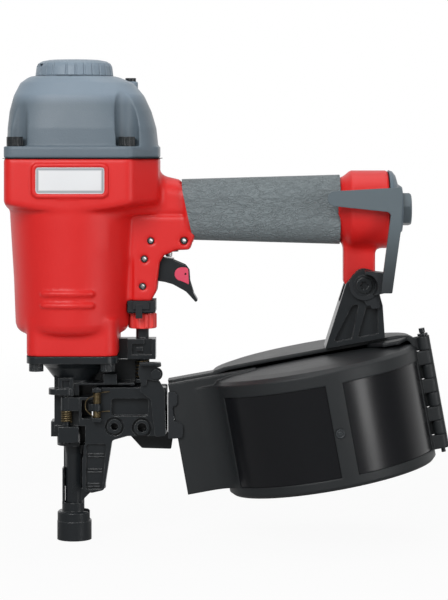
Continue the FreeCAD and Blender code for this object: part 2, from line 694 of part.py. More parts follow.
def piston_ring():
    z = PISTON_BOTTOM_Z + PISTON_H / 2 - 1.5
    return tube(PISTON_R + 0.1, PISTON_R - 2.5, (0, 0, z), (0, 0, z + 3))


def driver_blade():
    """Rod that strikes the nail, riveted over on top of the piston."""
    top = PISTON_BOTTOM_Z + PISTON_H - 4
    return rod(BLADE_R, (0, 0, BLADE_TIP_Z), (0, 0, top)).fuse(rod(BLADE_R + 2, (0, 0, top),
                                                                   (0, 0, top + 2)))


def head_valve():
    """Ring that closes the top of the sleeve, with its exhaust tube."""
    z = SLEEVE_TOP_Z + RUN_GAP
    r = HEAD_VALVE_R
    return turned([(7, z), (r - 4, z), (r - 4, z + 4.3), (r, z + 5), (r, z + HEAD_VALVE_H),
                   (EXHAUST_R - 0.4, z + HEAD_VALVE_H),
                   (EXHAUST_R - 0.4, HEAD_BORE_TOP_Z + 6), (7, HEAD_BORE_TOP_Z + 6)])


def head_valve_spring():
    return coil(HEAD_SPRING_R, SPRING_WIRE_R, 3.2, (0, 0, SLEEVE_TOP_Z + RUN_GAP + HEAD_VALVE_H + 0.05),
                (0, 0, HEAD_BORE_TOP_Z - 0.05))


def exhaust_deflector():
    """Fluted cover that turns to aim the exhaust; its slots lie on one side."""
    z = CAP_TOP_Z + RUN_GAP
    top = z + DEFLECTOR_H
    r = DEFLECTOR_R
    shell = turned([(0, z + 3), (r - DEFLECTOR_WALL, z + 3), (r - DEFLECTOR_WALL, z), (r, z),
                    (r - 0.8, top - 4.6),
                    (r - 2.0, top - 2.4), (r - 4.6, top - 0.9), (r - 9, top), (0, top)])
    shell = shell.cut(turned([(6, z - 1), (r - DEFLECTOR_WALL, z - 1), (r - DEFLECTOR_WALL - 1, top - 3.4),
                              (6, top - 3.4)]))
    cuts = [rod(DEFLECTOR_SCREW_R + PIN_FIT, (0, 0, z - 1), (0, 0, top + 1)),
            rod(5.2, (0, 0, top - 2.4), (0, 0, top + 1))]
    for angle in GROOVE_ANGLES:
        c, s = cos(radians(angle)), sin(radians(angle))
        cuts.append(rod(GROOVE_R, (r * c + 0.3 * c, r * s + 0.3 * s, z - 1),
                        ((r - 1.6) * c, (r - 1.6) * s, top + 0.2)))
    for angle in (150, 165, 180, 195, 210):
        slot = box(r - 7, r + 2, -2.6, 2.6, top - 4.6, top - 3.0)
        slot.rotate(V(0, 0, 0), Z_AXIS, angle)
        cuts.append(slot)
    return shell.cut(Part.makeCompound(cuts))


def deflector_screw():
    """Shoulder screw that the deflector turns on."""
    top = CAP_TOP_Z + RUN_GAP + DEFLECTOR_H
    shank = rod(DEFLECTOR_SCREW_R, (0, 0, EXHAUST_TOP_Z + 1), (0, 0, top - 2.1))
    head = rod(4.6, (0, 0, top - 2.1), (0, 0, top - 0.4))
    return shank.fuse(head).cut(rod(1.8, (0, 0, top - 1.6), (0, 0, top)))


# ==== handle pieces ===============================================================================
def grip_sleeve():
    """Rubber sleeve on the handle, cut at a slant on the housing side."""
    x0 = GRIP_LEFT_X - GRIP_SLANT
    sleeve = handle_core(GRIP_T, x0, GRIP_RIGHT_X).cut(handle_core(0, x0 - 4, GRIP_RIGHT_X + 4))
    keep = plate([(GRIP_LEFT_X - GRIP_SLANT, HANDLE_Z + 30), (GRIP_LEFT_X - GRIP_SLANT + 1, HANDLE_Z + 14,
                                                              30),
                  (GRIP_LEFT_X, HANDLE_Z - 20), (GRIP_LEFT_X, HANDLE_Z - 30),
                  (GRIP_RIGHT_X + 1, HANDLE_Z - 30),
                  (GRIP_RIGHT_X + 1, HANDLE_Z + 30)], "XZ", -40, 40)
    return sleeve.common(keep)


def end_cap_seal():
    x = DRUM_END_X
    return tube(DRUM_R - 1, HANDLE_BORE_R, (x, 0, HANDLE_Z), (x + END_SEAL_T, 0, HANDLE_Z))


def handle_end_cap():
    """Round cover on the end of the handle; the air inlet screws into it."""
    x = DRUM_END_X + END_SEAL_T
    body = turned_x([(x, 0), (x, DRUM_R + 0.2), (x + 2.5, DRUM_R - 0.6), (x + 4.8, DRUM_R - 3.5),
                     (x + 6.6, DRUM_R - 9.5), (x + END_CAP_T, DRUM_R - 11.5), (x + END_CAP_T, 0)], HANDLE_Z)
    return body.cut(rod(INLET_STEM_R, (x - 1, 0, HANDLE_Z), (x + END_CAP_T + 1, 0, HANDLE_Z)))


def air_inlet_plug():
    """Hexagonal plug with a female thread for the hose fitting."""
    x = DRUM_END_X + END_SEAL_T + END_CAP_T
    corner = INLET_AF / 2 / cos(pi / 6)
    points = [(corner * cos(pi / 3 * i + pi / 6 + 0.35),
               HANDLE_Z + corner * sin(pi / 3 * i + pi / 6 + 0.35)) for i in range(6)]
    head = plate(points, "YZ", x, x + INLET_HEX_H)
    head = head.common(turned_x([(x, 0), (x, corner), (x + INLET_HEX_H - 1.6, corner),
                                 (x + INLET_HEX_H, corner - 1.8),
                                 (x + INLET_HEX_H, 0)], HANDLE_Z))
    stem = rod(INLET_STEM_R, (x - INLET_STEM_L, 0, HANDLE_Z), (x + 1, 0, HANDLE_Z))
    return head.fuse(stem).cut(rod(INLET_THREAD_R, (x - INLET_STEM_L - 1, 0, HANDLE_Z),
                                   (x + INLET_HEX_H + 1, 0, HANDLE_Z)))


# ==== trigger and its valve =======================================================================
TRIGGER_SIDE = (
    (45.4, 199.6, 3.0), (66.6, 196.4, 1.0), (77.8, 191.6, 2.5), (80.5, 188.0, 2.5), (81.0, 180.4, 6.0),
    (83.7, 171.8, 4.0), (86.4, 167.3, 0.6), (85.0, 165.9, 0.8), (78.2, 173.4, 9.0), (69.1, 178.4, 7.0),
    (63.7, 180.0, 4.0), (58.6, 180.8, 0.8), (46.0, 191.6, 3.0),
)
TRIGGER_WEB = (
    (58.6, 180.8, 0.8), (63.7, 180.0, 4.0), (69.1, 178.4, 7.0), (78.2, 173.4, 9.0), (85.0, 165.9, 0.8),
    (86.4, 167.3, 0.6), (83.7, 171.8, 4.0), (80.6, 177.4, 6.0), (70.4, 182.2, 6.0), (59.6, 184.0, 0.8),
)
INSERT_SIDE = (
    (70.3, 190.3, 4.7), (79.7, 190.3, 2.2), (80.3, 178.0, 0.6), (78.9, 178.9, 2.0), (74.8, 180.9, 3.0),
    (70.3, 181.0, 4.5),
)
INSERT_T = 1.4
LEVER_H = 1.6
LEVER_BOTTOM_Z = 192.4
VALVE_CHAMBER_R = 5.0
STEM_HEAD_R = 4.2
STEM_HEAD_H = 1.8
STEM_SPRING_SOLID_H = 5.4
VALVE_CHAMBER_Z = (214.0, 214.0 + RUN_GAP + STEM_HEAD_H + STEM_SPRING_SOLID_H + STEM_TRAVEL)


def trigger():
    """Two side plates joined by the curved finger face; it turns on a roll pin."""
    left = plate(TRIGGER_SIDE, "XZ", -TRIGGER_HALF, -TRIGGER_HALF + TRIGGER_WALL)
    right = plate(TRIGGER_SIDE, "XZ", TRIGGER_HALF - TRIGGER_WALL, TRIGGER_HALF)
    web = plate(TRIGGER_WEB, "XZ", -TRIGGER_HALF, TRIGGER_HALF)
    rest = plate([(62.5, 194.4), (69.6, 194.4), (69.6, 196.2), (62.5, 196.9)], "XZ", -TRIGGER_HALF,
                 TRIGGER_HALF)
    bosses = [rod(TRIGGER_BOSS_R, (TRIGGER_X, y, TRIGGER_Z), (TRIGGER_X, y + TRIGGER_WALL, TRIGGER_Z))
              for y in (-TRIGGER_HALF, TRIGGER_HALF - TRIGGER_WALL)]
    body = left.multiFuse([right, web, rest] + bosses)
    inner = TRIGGER_HALF - INSERT_T
    pockets = [plate(INSERT_SIDE, "XZ", -TRIGGER_HALF - 1, -inner), plate(INSERT_SIDE, "XZ", inner,
        TRIGGER_HALF + 1)]
    bore = rod(PIN_OUT_R + PIN_FIT, (TRIGGER_X, -TRIGGER_HALF - 1, TRIGGER_Z),
               (TRIGGER_X, TRIGGER_HALF + 1, TRIGGER_Z))
    return body.cut(Part.makeCompound(pockets + [bore]))


def trigger_inserts():
    """Coloured insert in each side of the trigger, with a small hole."""
    inner = TRIGGER_HALF - INSERT_T
    hole = rod(0.7, (77.8, -TRIGGER_HALF - 2, 185.6), (77.8, TRIGGER_HALF + 2, 185.6))
    return [plate(INSERT_SIDE, "XZ", -TRIGGER_HALF - 0.3, -inner).cut(hole),
            plate(INSERT_SIDE, "XZ", inner, TRIGGER_HALF + 0.3).cut(hole)]


def trigger_lever():
    """Flat lever between the trigger's side plates, over the safety bar."""
    half = TRIGGER_HALF - TRIGGER_WALL
    z = LEVER_BOTTOM_Z
    return plate([(46.2, z), (66.0, z - 0.8), (73.0, z - 3.6), (73.0, z - 3.6 + LEVER_H),
                  (66.0, z - 0.8 + LEVER_H),
                  (46.2, z + LEVER_H)], "XZ", -half, half)


def trigger_valve_housing():
    """Pressed-in bush that the valve stem slides in, with the spring's chamber above."""
    low, high = VALVE_CHAMBER_Z
    return turned([
        (STEM_R + PIN_FIT, VALVE_BODY_BOTTOM_Z), (VALVE_BODY_R, VALVE_BODY_BOTTOM_Z),
        (VALVE_BODY_R, VALVE_BODY_TOP_Z), (2.2, VALVE_BODY_TOP_Z), (2.2, high), (VALVE_CHAMBER_R, high),
        (VALVE_CHAMBER_R, low), (STEM_R + PIN_FIT, low)], (STEM_X, 0))


def valve_stem():
    """Stem that the trigger lifts."""
    head = VALVE_CHAMBER_Z[0] + RUN_GAP
    return turned([(0, TRIGGER_Z + 0.9), (STEM_R - 0.6, TRIGGER_Z + 0.9), (STEM_R, TRIGGER_Z + 1.6),
                   (STEM_R, head),
                   (STEM_HEAD_R, head), (STEM_HEAD_R, head + STEM_HEAD_H), (1.6, head + STEM_HEAD_H),
                   (1.6, head + STEM_HEAD_H + 4), (0, head + STEM_HEAD_H + 4)], (STEM_X, 0))


def trigger_valve_spring():
    low = VALVE_CHAMBER_Z[0] + RUN_GAP + STEM_HEAD_H + 0.05
    return coil(3.3, 0.45, 1.9, (STEM_X, 0, low), (STEM_X, 0, VALVE_CHAMBER_Z[1] - 0.05))


# ==== contact safety ==============================================================================
GUIDE_X = (ROD_X - 10.2, ROD_X + 9.4)
GUIDE_HALF = 9.0
FOOT_BOSS_Y = LINK_Y
FOOT_NOTCH_Z = 13.6
FOOT_SEAT_H = 13.0        # round seat for a push-on protective cap


def contact_foot():
    """Foot that is pressed on the work; it slides on the nose tube."""
    upper = FOOT_R - 0.2
    body = turned([
        (FOOT_BORE_R, 0), (FOOT_R, 0), (FOOT_R, FOOT_SEAT_H), (upper, FOOT_SEAT_H), (upper, FOOT_H - 1),
        (upper - 1, FOOT_H), (COLLAR_R, FOOT_H), (COLLAR_R, FOOT_H + COLLAR_H),
        (FOOT_BORE_R, FOOT_H + COLLAR_H)])
    boss = box(-6, 6, FOOT_BORE_R + 1.5, FOOT_BOSS_Y, FOOT_NOTCH_Z, FOOT_H)
    strip = box(-FOOT_BORE_R - 1.0, -FOOT_BORE_R + 0.4, -4, 4, FOOT_H + COLLAR_H - 1, 50)
    notch = box(FOOT_BORE_R - 1.4, FOOT_R + 1, -5.5, 5.5, FOOT_NOTCH_Z, FOOT_H + COLLAR_H + 1)
    bore = rod(FOOT_BORE_R, (0, 0, -1), (0, 0, FOOT_H + COLLAR_H + 1))
    return body.multiFuse([boss, strip]).cut(Part.makeCompound([notch, bore]))


def contact_link():
    """Flat link behind the nose that carries the foot's motion up to the rod."""
    y0, y1 = LINK_Y, LINK_Y + LINK_T
    bar_z = LINK_TOP_Z - LINK_BAR_H
    side = plate([(-6, FOOT_NOTCH_Z, 2), (6, FOOT_NOTCH_Z, 2), (6, bar_z, 3), (ROD_X + 4.4, bar_z, 2),
                  (ROD_X + 4.4, LINK_UPSTAND_Z, 1), (ROD_X - 5.6, LINK_UPSTAND_Z, 1),
                  (ROD_X - 5.6, LINK_TOP_Z), (-6, LINK_TOP_Z, 3)], "XZ", y0, y1)
    tab = box(ROD_X - 4.4, ROD_X + 4.4, -4.4, y1, LINK_TOP_Z - LINK_T, LINK_TOP_Z)
    return side.fuse(tab)


def contact_rod():
    """Rod from the link up through the guide, with a slotted bar on top that the lower roll pin guides."""
    shank = rod(ROD_R, (ROD_X, 0, LINK_TOP_Z), (ROD_X, 0, BAR_BOTTOM_Z))
    x0, x1 = BAR_X
    bar = plate([(x0, BAR_BOTTOM_Z, 0.5), (x1, BAR_BOTTOM_Z, 0.5), (x1, BAR_TOP_Z, 2), (x0, BAR_TOP_Z, 2)],
                "XZ", -BAR_HALF, BAR_HALF)
    pin_x, pin_z = ROLL_PINS[3]
    half = PIN_OUT_R + RUN_GAP
    low = pin_z - PIN_OUT_R - RUN_GAP - FOOT_TRAVEL
    slot = plate(rounded(pin_x - half, pin_x + half, low, pin_z + PIN_OUT_R + RUN_GAP, half * 0.95), "XZ",
                 -BAR_HALF - 1, BAR_HALF + 1)
    return bar.cut(slot).fuse(shank)


def contact_spring():
    return coil(4.4, 0.6, 2.6, (ROD_X, 0, LINK_TOP_Z + 0.05), (ROD_X, 0, GUIDE_BOTTOM_Z - 0.05))


YOKE_X = (ROD_X - 11.6, ROD_X + 9.4)
YOKE_CLEAR_R = BARREL_BOTTOM_R + 0.4       # hollow left side that follows the barrel


def depth_yoke():
    """Black yoke under the cheeks, with a T-shaped tab that clicks on the knob."""
    z0, z1 = YOKE_Z
    x0, x1 = YOKE_X
    body = box(x0, x1, -CHEEK_OUT_Y + 1, CHEEK_OUT_Y - 1, z0 + 0.4, z1)
    step = box(x0, x1 - 1.4, -CHEEK_OUT_Y + 2, CHEEK_OUT_Y - 2, z0, z0 + 1)
    tab = box(ROD_X - 4.2, ROD_X + 0.4, -CHEEK_OUT_Y - 1, -CHEEK_OUT_Y + 2.6, z0 - 3.6, z0 + 6)
    head = box(ROD_X - 6.0, ROD_X + 5.4, -CHEEK_OUT_Y - 0.6, -CHEEK_OUT_Y + 2, z0 + 2.6, z1 - 1)
    slot = box(BAR_X[0] - 0.8, BAR_X[1] + 0.8, -BAR_HALF - 1, BAR_HALF + 1, z0 - 1, z1 + 1)
    barrel = rod(YOKE_CLEAR_R, (0, 0, z0 - 1), (0, 0, z1 + 1))
    return body.multiFuse([step, tab, head]).cut(Part.makeCompound([slot, barrel]))


def depth_knob():
    """Fluted knob that sets the driving depth."""
    z = KNOB_BOTTOM_Z
    body = turned([(KNOB_STEM_R, z), (KNOB_R - 0.8, z), (KNOB_R, z + 0.8), (KNOB_R, z + KNOB_H - 0.8),
                   (KNOB_R - 0.8, z + KNOB_H), (KNOB_STEM_R, z + KNOB_H)], (ROD_X, 0))
    cuts = []
    for i in range(10):
        a = 2 * pi * (i + 0.5) / 10
        x, y = ROD_X + (KNOB_R + 2.4) * cos(a), (KNOB_R + 2.4) * sin(a)
        cuts.append(rod(3.4, (x, y, z - 1), (x, y, z + KNOB_H + 1)))
    return body.cut(Part.makeCompound(cuts))


def depth_stem():
    """Hollow steel stem of the knob; it turns in the guide and has one flat."""
    low = GUIDE_TOP_Z - 8
    stem = tube(KNOB_STEM_R, ROD_R + RUN_GAP, (ROD_X, 0, low), (ROD_X, 0, KNOB_BOTTOM_Z + KNOB_H))
    flat = box(ROD_X - 5, ROD_X + 5, -KNOB_STEM_R - 1, -KNOB_STEM_R + 0.8, GUIDE_TOP_Z + 0.6,
               KNOB_BOTTOM_Z - 0.4)
    return stem.cut(flat)


def contact_guide():
    """Black bracket on the side of the square block that guides the rod and the stem."""
    x0, x1 = GUIDE_X
    z0, z1 = GUIDE_BOTTOM_Z, GUIDE_TOP_Z
    body = box(x0, x1, -GUIDE_HALF, GUIDE_HALF, z0, z1).fuse(
        box(BLOCK_HALF, x0 + 1, -4, GUIDE_HALF, z0, z1))
    pocket = box(x0 + 3, x1 - 2.6, -GUIDE_HALF - 1, -KNOB_STEM_R - 1.2, z0 + 3, z1 - 3.4)
    window = box(x1 - 8, x1 - 2.6, -GUIDE_HALF - 1, -KNOB_STEM_R - 1.2, z0 + 3, z1 + 1)
    bridge = box(x0 + 6.4, x1 - 9, -GUIDE_HALF + 0.6, -KNOB_STEM_R, z0 + 5.6, z0 + 8.2)
    bores = [rod(ROD_R + RUN_GAP, (ROD_X, 0, z0 - 1), (ROD_X, 0, z1 + 1)),
             rod(KNOB_STEM_R + PIN_FIT, (ROD_X, 0, z1 - 8 - RUN_GAP), (ROD_X, 0, z1 + 1))]
    return body.cut(Part.makeCompound([pocket, window])).fuse(bridge).cut(Part.makeCompound(bores))


# ==== nose ========================================================================================
NOSE_TOP_Z = BLOCK_BOTTOM_Z - NOSE_GASKET_T
NOSE_FLANGE_Z = NOSE_TOP_Z - NOSE_FLANGE_T
COLUMN_X = (-13.4, 4.0)
COLUMN_FRONT = -9.0
COLUMN_BACK = 11.0
SHELF_END_X = ROD_X - 5.1
SHELF_BOTTOM_Z = 108.6
HINGE_TOP_Z = (101.6, 114.0)
HINGE_LOW_Z = (69.5, 80.2)
DOOR_BACK_Y = -4.3
PLATE_Y = (4.3, 8.6)
CYL_Y = 18.6
CYL_Z = 86.0
CYL_X = (32.0, 62.0)
CYL_R = 9.0
FEED_PISTON_R = 7.2
FEED_ROD_R = 2.6
FEED_TRAVEL = 10.0
CARRIER_X = (12.0, 19.0)
PAWL_HALF = 2.0           # half height of the feed pawl


def nose_bolt_places():
    return [(x, y) for x in (-NOSE_BOLT_XY, NOSE_BOLT_XY) for y in (-NOSE_BOLT_XY, NOSE_BOLT_XY)]


def nose_casting():
    """Flange, cone, column and tube that guide the blade, with the door's hinge lugs."""
    flange = plate(rounded(-BLOCK_HALF, BLOCK_HALF, -BLOCK_HALF, BLOCK_HALF, BLOCK_CORNER_R), "XY",
                   NOSE_FLANGE_Z, NOSE_TOP_Z)
    cone_part = turned([(0, 66), (12.0, 66), (13.6, 112), (20.5, 121.0), (27.0, NOSE_FLANGE_Z),
                        (0, NOSE_FLANGE_Z)])
    pocket_room = box(COLUMN_X[1], 40, -30, DOOR_BACK_Y + 0.6, 60, 109)
    boss = rod(THROAT_R, (0, 0, NOSE_TOP_Z - 1), (0, 0, SLEEVE_BOTTOM_Z))
    column = box(COLUMN_X[0], COLUMN_X[1], COLUMN_FRONT, COLUMN_BACK, 76, 116)
    tube_part = turned([(0, BARREL_TIP_Z), (BARREL_R - 0.8, BARREL_TIP_Z), (BARREL_R, BARREL_TIP_Z + 1),
                        (BARREL_R, 60),
                        (8.2, 70), (0, 70)])
    back = box(0, 21.6, PLATE_Y[0] - 4, PLATE_Y[1], FOOT_H + COLLAR_H + FOOT_TRAVEL + RUN_GAP, 66)
    low_left = box(-15.8, -10, -8, 8, 72.5, 83)
    lip = plate([(5, 26.5), (12.0, 33.6, 1), (20.4, 34.4, 1), (22.0, 40.0), (5, 40.0)], "XZ", -TRACK_HALF,
                TRACK_HALF)
    wall = box(12, SHELF_END_X, PLATE_Y[0], COLUMN_BACK, SHELF_BOTTOM_Z - 0.6, NOSE_FLANGE_Z)
    rib = box(-BARREL_R - 1.5, -3, 4 + RUN_GAP, 7, 36, 66)
    shelf = box(0, SHELF_END_X, -14, COLUMN_BACK, SHELF_BOTTOM_Z, SHELF_BOTTOM_Z + 1.8)
    post = box(21.5, 30.5, -20, -8, 110, 117)
    lugs = [
        box(-10.0, 0.4, -17.6, -6, *HINGE_TOP_Z),
        plate([(-17.0, -19.4, 6.5), (1.0, -19.4, 6), (1.0, -6, 1), (-17.0, -6, 3)], "XY", 102.6, 106.6),
        box(-10.0, 6.4, -17.6, -6, *HINGE_LOW_Z),
    ]
    body = flange.multiFuse([cone_part, boss, column, tube_part, back, low_left, lip, wall, rib,
                             shelf, post] + lugs)
    cuts = [
        pocket_room,
        rod(DRIVE_R, (0, 0, BARREL_TIP_Z - 1), (0, 0, SLEEVE_BOTTOM_Z + 1)),
        box(0, 60, -TRACK_HALF, TRACK_HALF, 36, FEED_Z[1]),
        box(COLUMN_X[1], 60, -40, PLATE_Y[1] + 0.1, 66, FEED_Z[1] + 0.6),
        rod(DOOR_PIN_R, (DOOR_PIN_X, DOOR_PIN_Y, 60), (DOOR_PIN_X, DOOR_PIN_Y, 112)),
        box(-60, 60, LINK_Y - 0.6, 60, 60, LINK_TOP_Z + FOOT_TRAVEL + 0.6),
        box(-8, 60, LINK_Y - 0.6, LINK_Y + LINK_T + 0.4, 4, 70),
        box(-7.4, -2.2, -20, -15.4, 106.9, 112.4),
        box(-20, COLUMN_X[1], -30, DOOR_PIN_Y + KNUCKLE_R + RUN_GAP, HINGE_LOW_Z[1], HINGE_TOP_Z[0]),
    ]
    for x, y in nose_bolt_places():
        cuts.append(rod(NOSE_BOLT_R, (x, y, NOSE_FLANGE_Z - 1), (x, y, NOSE_TOP_Z + 1)))
    return body.cut(Part.makeCompound(cuts))


def nose_gasket():
    """Gasket between the nose flange and the square block."""
    ring = plate(rounded(-BLOCK_HALF, BLOCK_HALF, -BLOCK_HALF, BLOCK_HALF, BLOCK_CORNER_R), "XY",
                 NOSE_TOP_Z, BLOCK_BOTTOM_Z)
    holes = [rod(NOSE_BOLT_R + 0.2, (x, y, NOSE_TOP_Z - 1), (x, y, BLOCK_BOTTOM_Z + 1)) for x,
             y in nose_bolt_places()]
    holes.append(rod(THROAT_R, (0, 0, NOSE_TOP_Z - 1), (0, 0, BLOCK_BOTTOM_Z + 1)))
    return ring.cut(Part.makeCompound(holes))


def nose_bolts():
    length = NOSE_TOP_Z - NOSE_FLANGE_Z + NOSE_GASKET_T + NOSE_SCREW_DEPTH - 1
    return [socket_bolt((x, y, NOSE_FLANGE_Z), NOSE_BOLT_HEAD_R, NOSE_BOLT_HEAD_H, NOSE_BOLT_R, length, 1)
            for x, y in nose_bolt_places()]


def gaskets():
    """Flat gaskets of the cap, the nose and the handle's end."""
    return [cap_gasket(), nose_gasket(), end_cap_seal()]


def feed_guide_plate():
    """Fixed plate behind the nails, with the feed pawl's slot and the lip under the door."""
    y0, y1 = PLATE_Y
    body = plate([(COLUMN_X[1] + 0.2, 72.6), (38, 72.6), (47, 62.8, 2), (67.6, 62.2, 1), (68.6, 69, 1),
                  (FEED_END_X, 74, 1), (FEED_END_X, FEED_Z[1] + 0.4, 1),
                  (COLUMN_X[1] + 0.2, FEED_Z[1] + 0.4)], "XZ", y0, y1)
    half = PAWL_HALF + 0.5
    slot = box(CARRIER_X[0] - RUN_GAP, CARRIER_X[1] + FEED_TRAVEL + 1, y0 - 1, y1 + 1, CYL_Z - half,
               CYL_Z + half)
    return body.cut(slot)


def feed_cylinder():
    """Air cylinder behind the plate that pulls the feed pawl back."""
    x0, x1 = CYL_X
    body = rod(CYL_R, (x0, CYL_Y, CYL_Z), (x1, CYL_Y, CYL_Z))
    foot = box(x0 + 4, x1 - 4, PLATE_Y[1], CYL_Y, CYL_Z - 8, CYL_Z + 8)
    cuts = [rod(FEED_PISTON_R + RUN_GAP, (x0 + 2.5, CYL_Y, CYL_Z), (x1 - 2.5, CYL_Y, CYL_Z)),
            rod(FEED_ROD_R + RUN_GAP, (x0 - 1, CYL_Y, CYL_Z), (x0 + 3, CYL_Y, CYL_Z))]
    return body.fuse(foot).cut(Part.makeCompound(cuts))


def feed_piston():
    """Piston, rod and carrier of the feed pawl."""
    head_x = CYL_X[0] + 3
    head = rod(FEED_PISTON_R, (head_x, CYL_Y, CYL_Z), (head_x + 5, CYL_Y, CYL_Z))
    stem = rod(FEED_ROD_R, (CARRIER_X[0] + 2, CYL_Y, CYL_Z), (head_x + 1, CYL_Y, CYL_Z))
    x0, x1 = CARRIER_X
    carrier = box(x0, x1, PLATE_Y[1] + RUN_GAP, CYL_Y + 4, CYL_Z - 4.5, CYL_Z + 4.5)
    gap = box(x0 - 1, x1 + 1, PLATE_Y[1] - 1, 14.2, CYL_Z - 2.3, CYL_Z + 2.3)
    pin = rod(1.2, ((x0 + x1) / 2, 11.4, CYL_Z - 3), ((x0 + x1) / 2, 11.4, CYL_Z + 3))
    return head.multiFuse([stem, carrier]).cut(gap).fuse(pin)


def feed_pawl():
    """Small pawl that pushes the nail strip towards the blade."""
    x0, x1 = CARRIER_X
    mid = (x0 + x1) / 2
    body = plate([(mid - 2.4, 13.4, 2), (mid + 2.4, 13.4, 2), (mid + 2.4, 3, 1), (mid - 1.4, -1.6, 0.4),
                  (mid - 2.4, 3, 1)],
                 "XY", CYL_Z - PAWL_HALF, CYL_Z + PAWL_HALF)
    return body.cut(rod(1.2 + PIN_FIT, (mid, 11.4, CYL_Z - 3), (mid, 11.4, CYL_Z + 3)))


def feed_spring():
    low = CYL_X[0] + 8.05
    return coil(4.6, 0.6, 3.0, (low, CYL_Y, CYL_Z), (CYL_X[1] - 2.55, CYL_Y, CYL_Z))


# ==== nose door ===================================================================================
DOOR_SIDE = (
    (DOOR_LEFT_X, 100.8, 1.0), (15.5, 100.8), (15.5, DOOR_TOP_Z, 1.0), (DOOR_RIGHT_X, DOOR_TOP_Z, 2.0),
    (DOOR_RIGHT_X, 95.0, 2.0), (61.5, 89.0, 4.0), (63.0, 80.0, 3.0), (DOOR_RIGHT_X, DOOR_BOTTOM_Z, 1.5),
    (38.0, DOOR_BOTTOM_Z, 1.0), (27.2, 71.0, 3.0), (21.8, TONGUE_BOTTOM_Z + 2, 3.0),
    (13.0, TONGUE_BOTTOM_Z, 3.0), (8.4, TONGUE_BOTTOM_Z + 1.4, 1.0), (6.5, TONGUE_BOTTOM_Z + 4, 1.0),
    (6.5, 58.0), (7.5, 61.0), (7.5, 66.5), (8.6, 68.5), (8.6, 81.0), (DOOR_LEFT_X, 81.0),
)
DOOR_WINDOW = (26.6, 52.4, 87.8, 100.0)
WINDOW_DEPTH = 5.0
TONGUE_RECESS = ((9.0, 36.8, 1.5), (20.4, 37.2, 1.5), (23.4, 68.4, 1.5), (9.4, 68.4, 1.5))
RECESS_DEPTH = 2.0
TONGUE_RIBS = ((10.2, 18.6, 38.4), (10.2, 20.0, 48.4), (10.2, 21.4, 59.0))   # left x, right x, z
KNUCKLE_Z = (91.4, 100.6)
BUSHINGS = ((28.9, 80.6, 5.0, 2.5), (47.9, 79.9, 5.3, 3.2))
PAWL_Z = (87.0, 106.0)
SIGHT = (6.0, 15.0, 86.0, 99.0)


def nose_door():
    """Hinged cover of the nail track, with its tongue down beside the nose tube."""
    front = DOOR_FRONT_Y
    body = plate(DOOR_SIDE, "XZ", front, DOOR_BACK_Y)
    x0, x1, z0, z1 = DOOR_WINDOW
    cuts = [plate(rounded(x0, x1, z0, z1, 2.5), "XZ", front - 1, front + WINDOW_DEPTH),
            plate(TONGUE_RECESS, "XZ", front - 1, front + RECESS_DEPTH)]
    for x, z, outer, inner in BUSHINGS:
        cuts.append(rod(outer + 1.6, (x, front - 1, z), (x, front + 2.6, z)))
        cuts.append(rod(outer, (x, front, z), (x, DOOR_BACK_Y - 2, z)))
    cuts.append(box(SIGHT[0], SIGHT[1], front - 1, DOOR_BACK_Y + 1, SIGHT[2], SIGHT[3]))
    grips = [box(x0, x1, front + RECESS_DEPTH - 0.8, front + RECESS_DEPTH + 1, z + step, z + step + 0.6)
             for x0, x1, z in TONGUE_RIBS for step in (0, 2.0)]
    knuckle = rod(KNUCKLE_R, (DOOR_PIN_X, DOOR_PIN_Y, KNUCKLE_Z[0]), (DOOR_PIN_X, DOOR_PIN_Y, KNUCKLE_Z[1]))
    arm = box(DOOR_PIN_X, DOOR_LEFT_X + 1, DOOR_PIN_Y - 3.6, DOOR_PIN_Y + 1.6, *KNUCKLE_Z)
    ears = [box(PAWL_PIN_X - 3, PAWL_PIN_X + 3, PAWL_PIN_Y - 2.8, front + 1, z, z + 2.4)
            for z in (PAWL_Z[0] - 2.4, PAWL_Z[1] - 1)]
    strap_pads = box(57.6, 63.6, front - 1.2, front + 1, 76, 106)
    bore = rod(DOOR_PIN_R + PIN_FIT, (DOOR_PIN_X, DOOR_PIN_Y, 80), (DOOR_PIN_X, DOOR_PIN_Y, 112))
    pin_bore = rod(PAWL_PIN_R, (PAWL_PIN_X, PAWL_PIN_Y, PAWL_Z[0] - 3),
                   (PAWL_PIN_X, PAWL_PIN_Y, PAWL_Z[1] + 3))
    body = body.cut(Part.makeCompound(cuts)).multiFuse([knuckle, arm, strap_pads] + ears + grips)
    return body.cut(Part.makeCompound([bore, pin_bore]))


def door_bushings():
    """Two tubular bushes in round scoops in the door."""
    return [tube(outer, inner, (x, DOOR_FRONT_Y - 0.4, z), (x, DOOR_BACK_Y - 2, z)) for x, z, outer,
            inner in BUSHINGS]


def door_strap():
    """Flat strap on the door's free end that carries the latch lever."""
    y1 = DOOR_FRONT_Y - 1.2
    strap = plate([(48.4, 119.6, 2), (52.6, 119.6, 3), (60.0, 112.6, 4), (63.6, 106.4, 2),
                   (64.6, 74.6, 1.5),
                   (57.0, 74.0, 1.5), (54.2, 99.5, 1), (46.6, 105.5, 2)], "XZ", y1 - 2.6, y1)
    ear = rod(4.0, (LATCH_X, y1 - 2.6, LATCH_Z), (LATCH_X, y1, LATCH_Z))
    bore = rod(2.2, (LATCH_X, y1 - 4, LATCH_Z), (LATCH_X, y1 + 1, LATCH_Z))
    return strap.fuse(ear).cut(bore)


def latch_bolt():
    """Shouldered bolt that the latch lever turns on."""
    y = DOOR_FRONT_Y - 1.2
    shank = rod(2.2, (LATCH_X, y - 5.6, LATCH_Z), (LATCH_X, y + 1.4, LATCH_Z))
    head = rod(3.4, (LATCH_X, y - 8.2, LATCH_Z), (LATCH_X, y - 5.6, LATCH_Z))
    nut = rod(3.6, (LATCH_X, y, LATCH_Z), (LATCH_X, y + 2.2, LATCH_Z))
    return shank.multiFuse([head, nut])


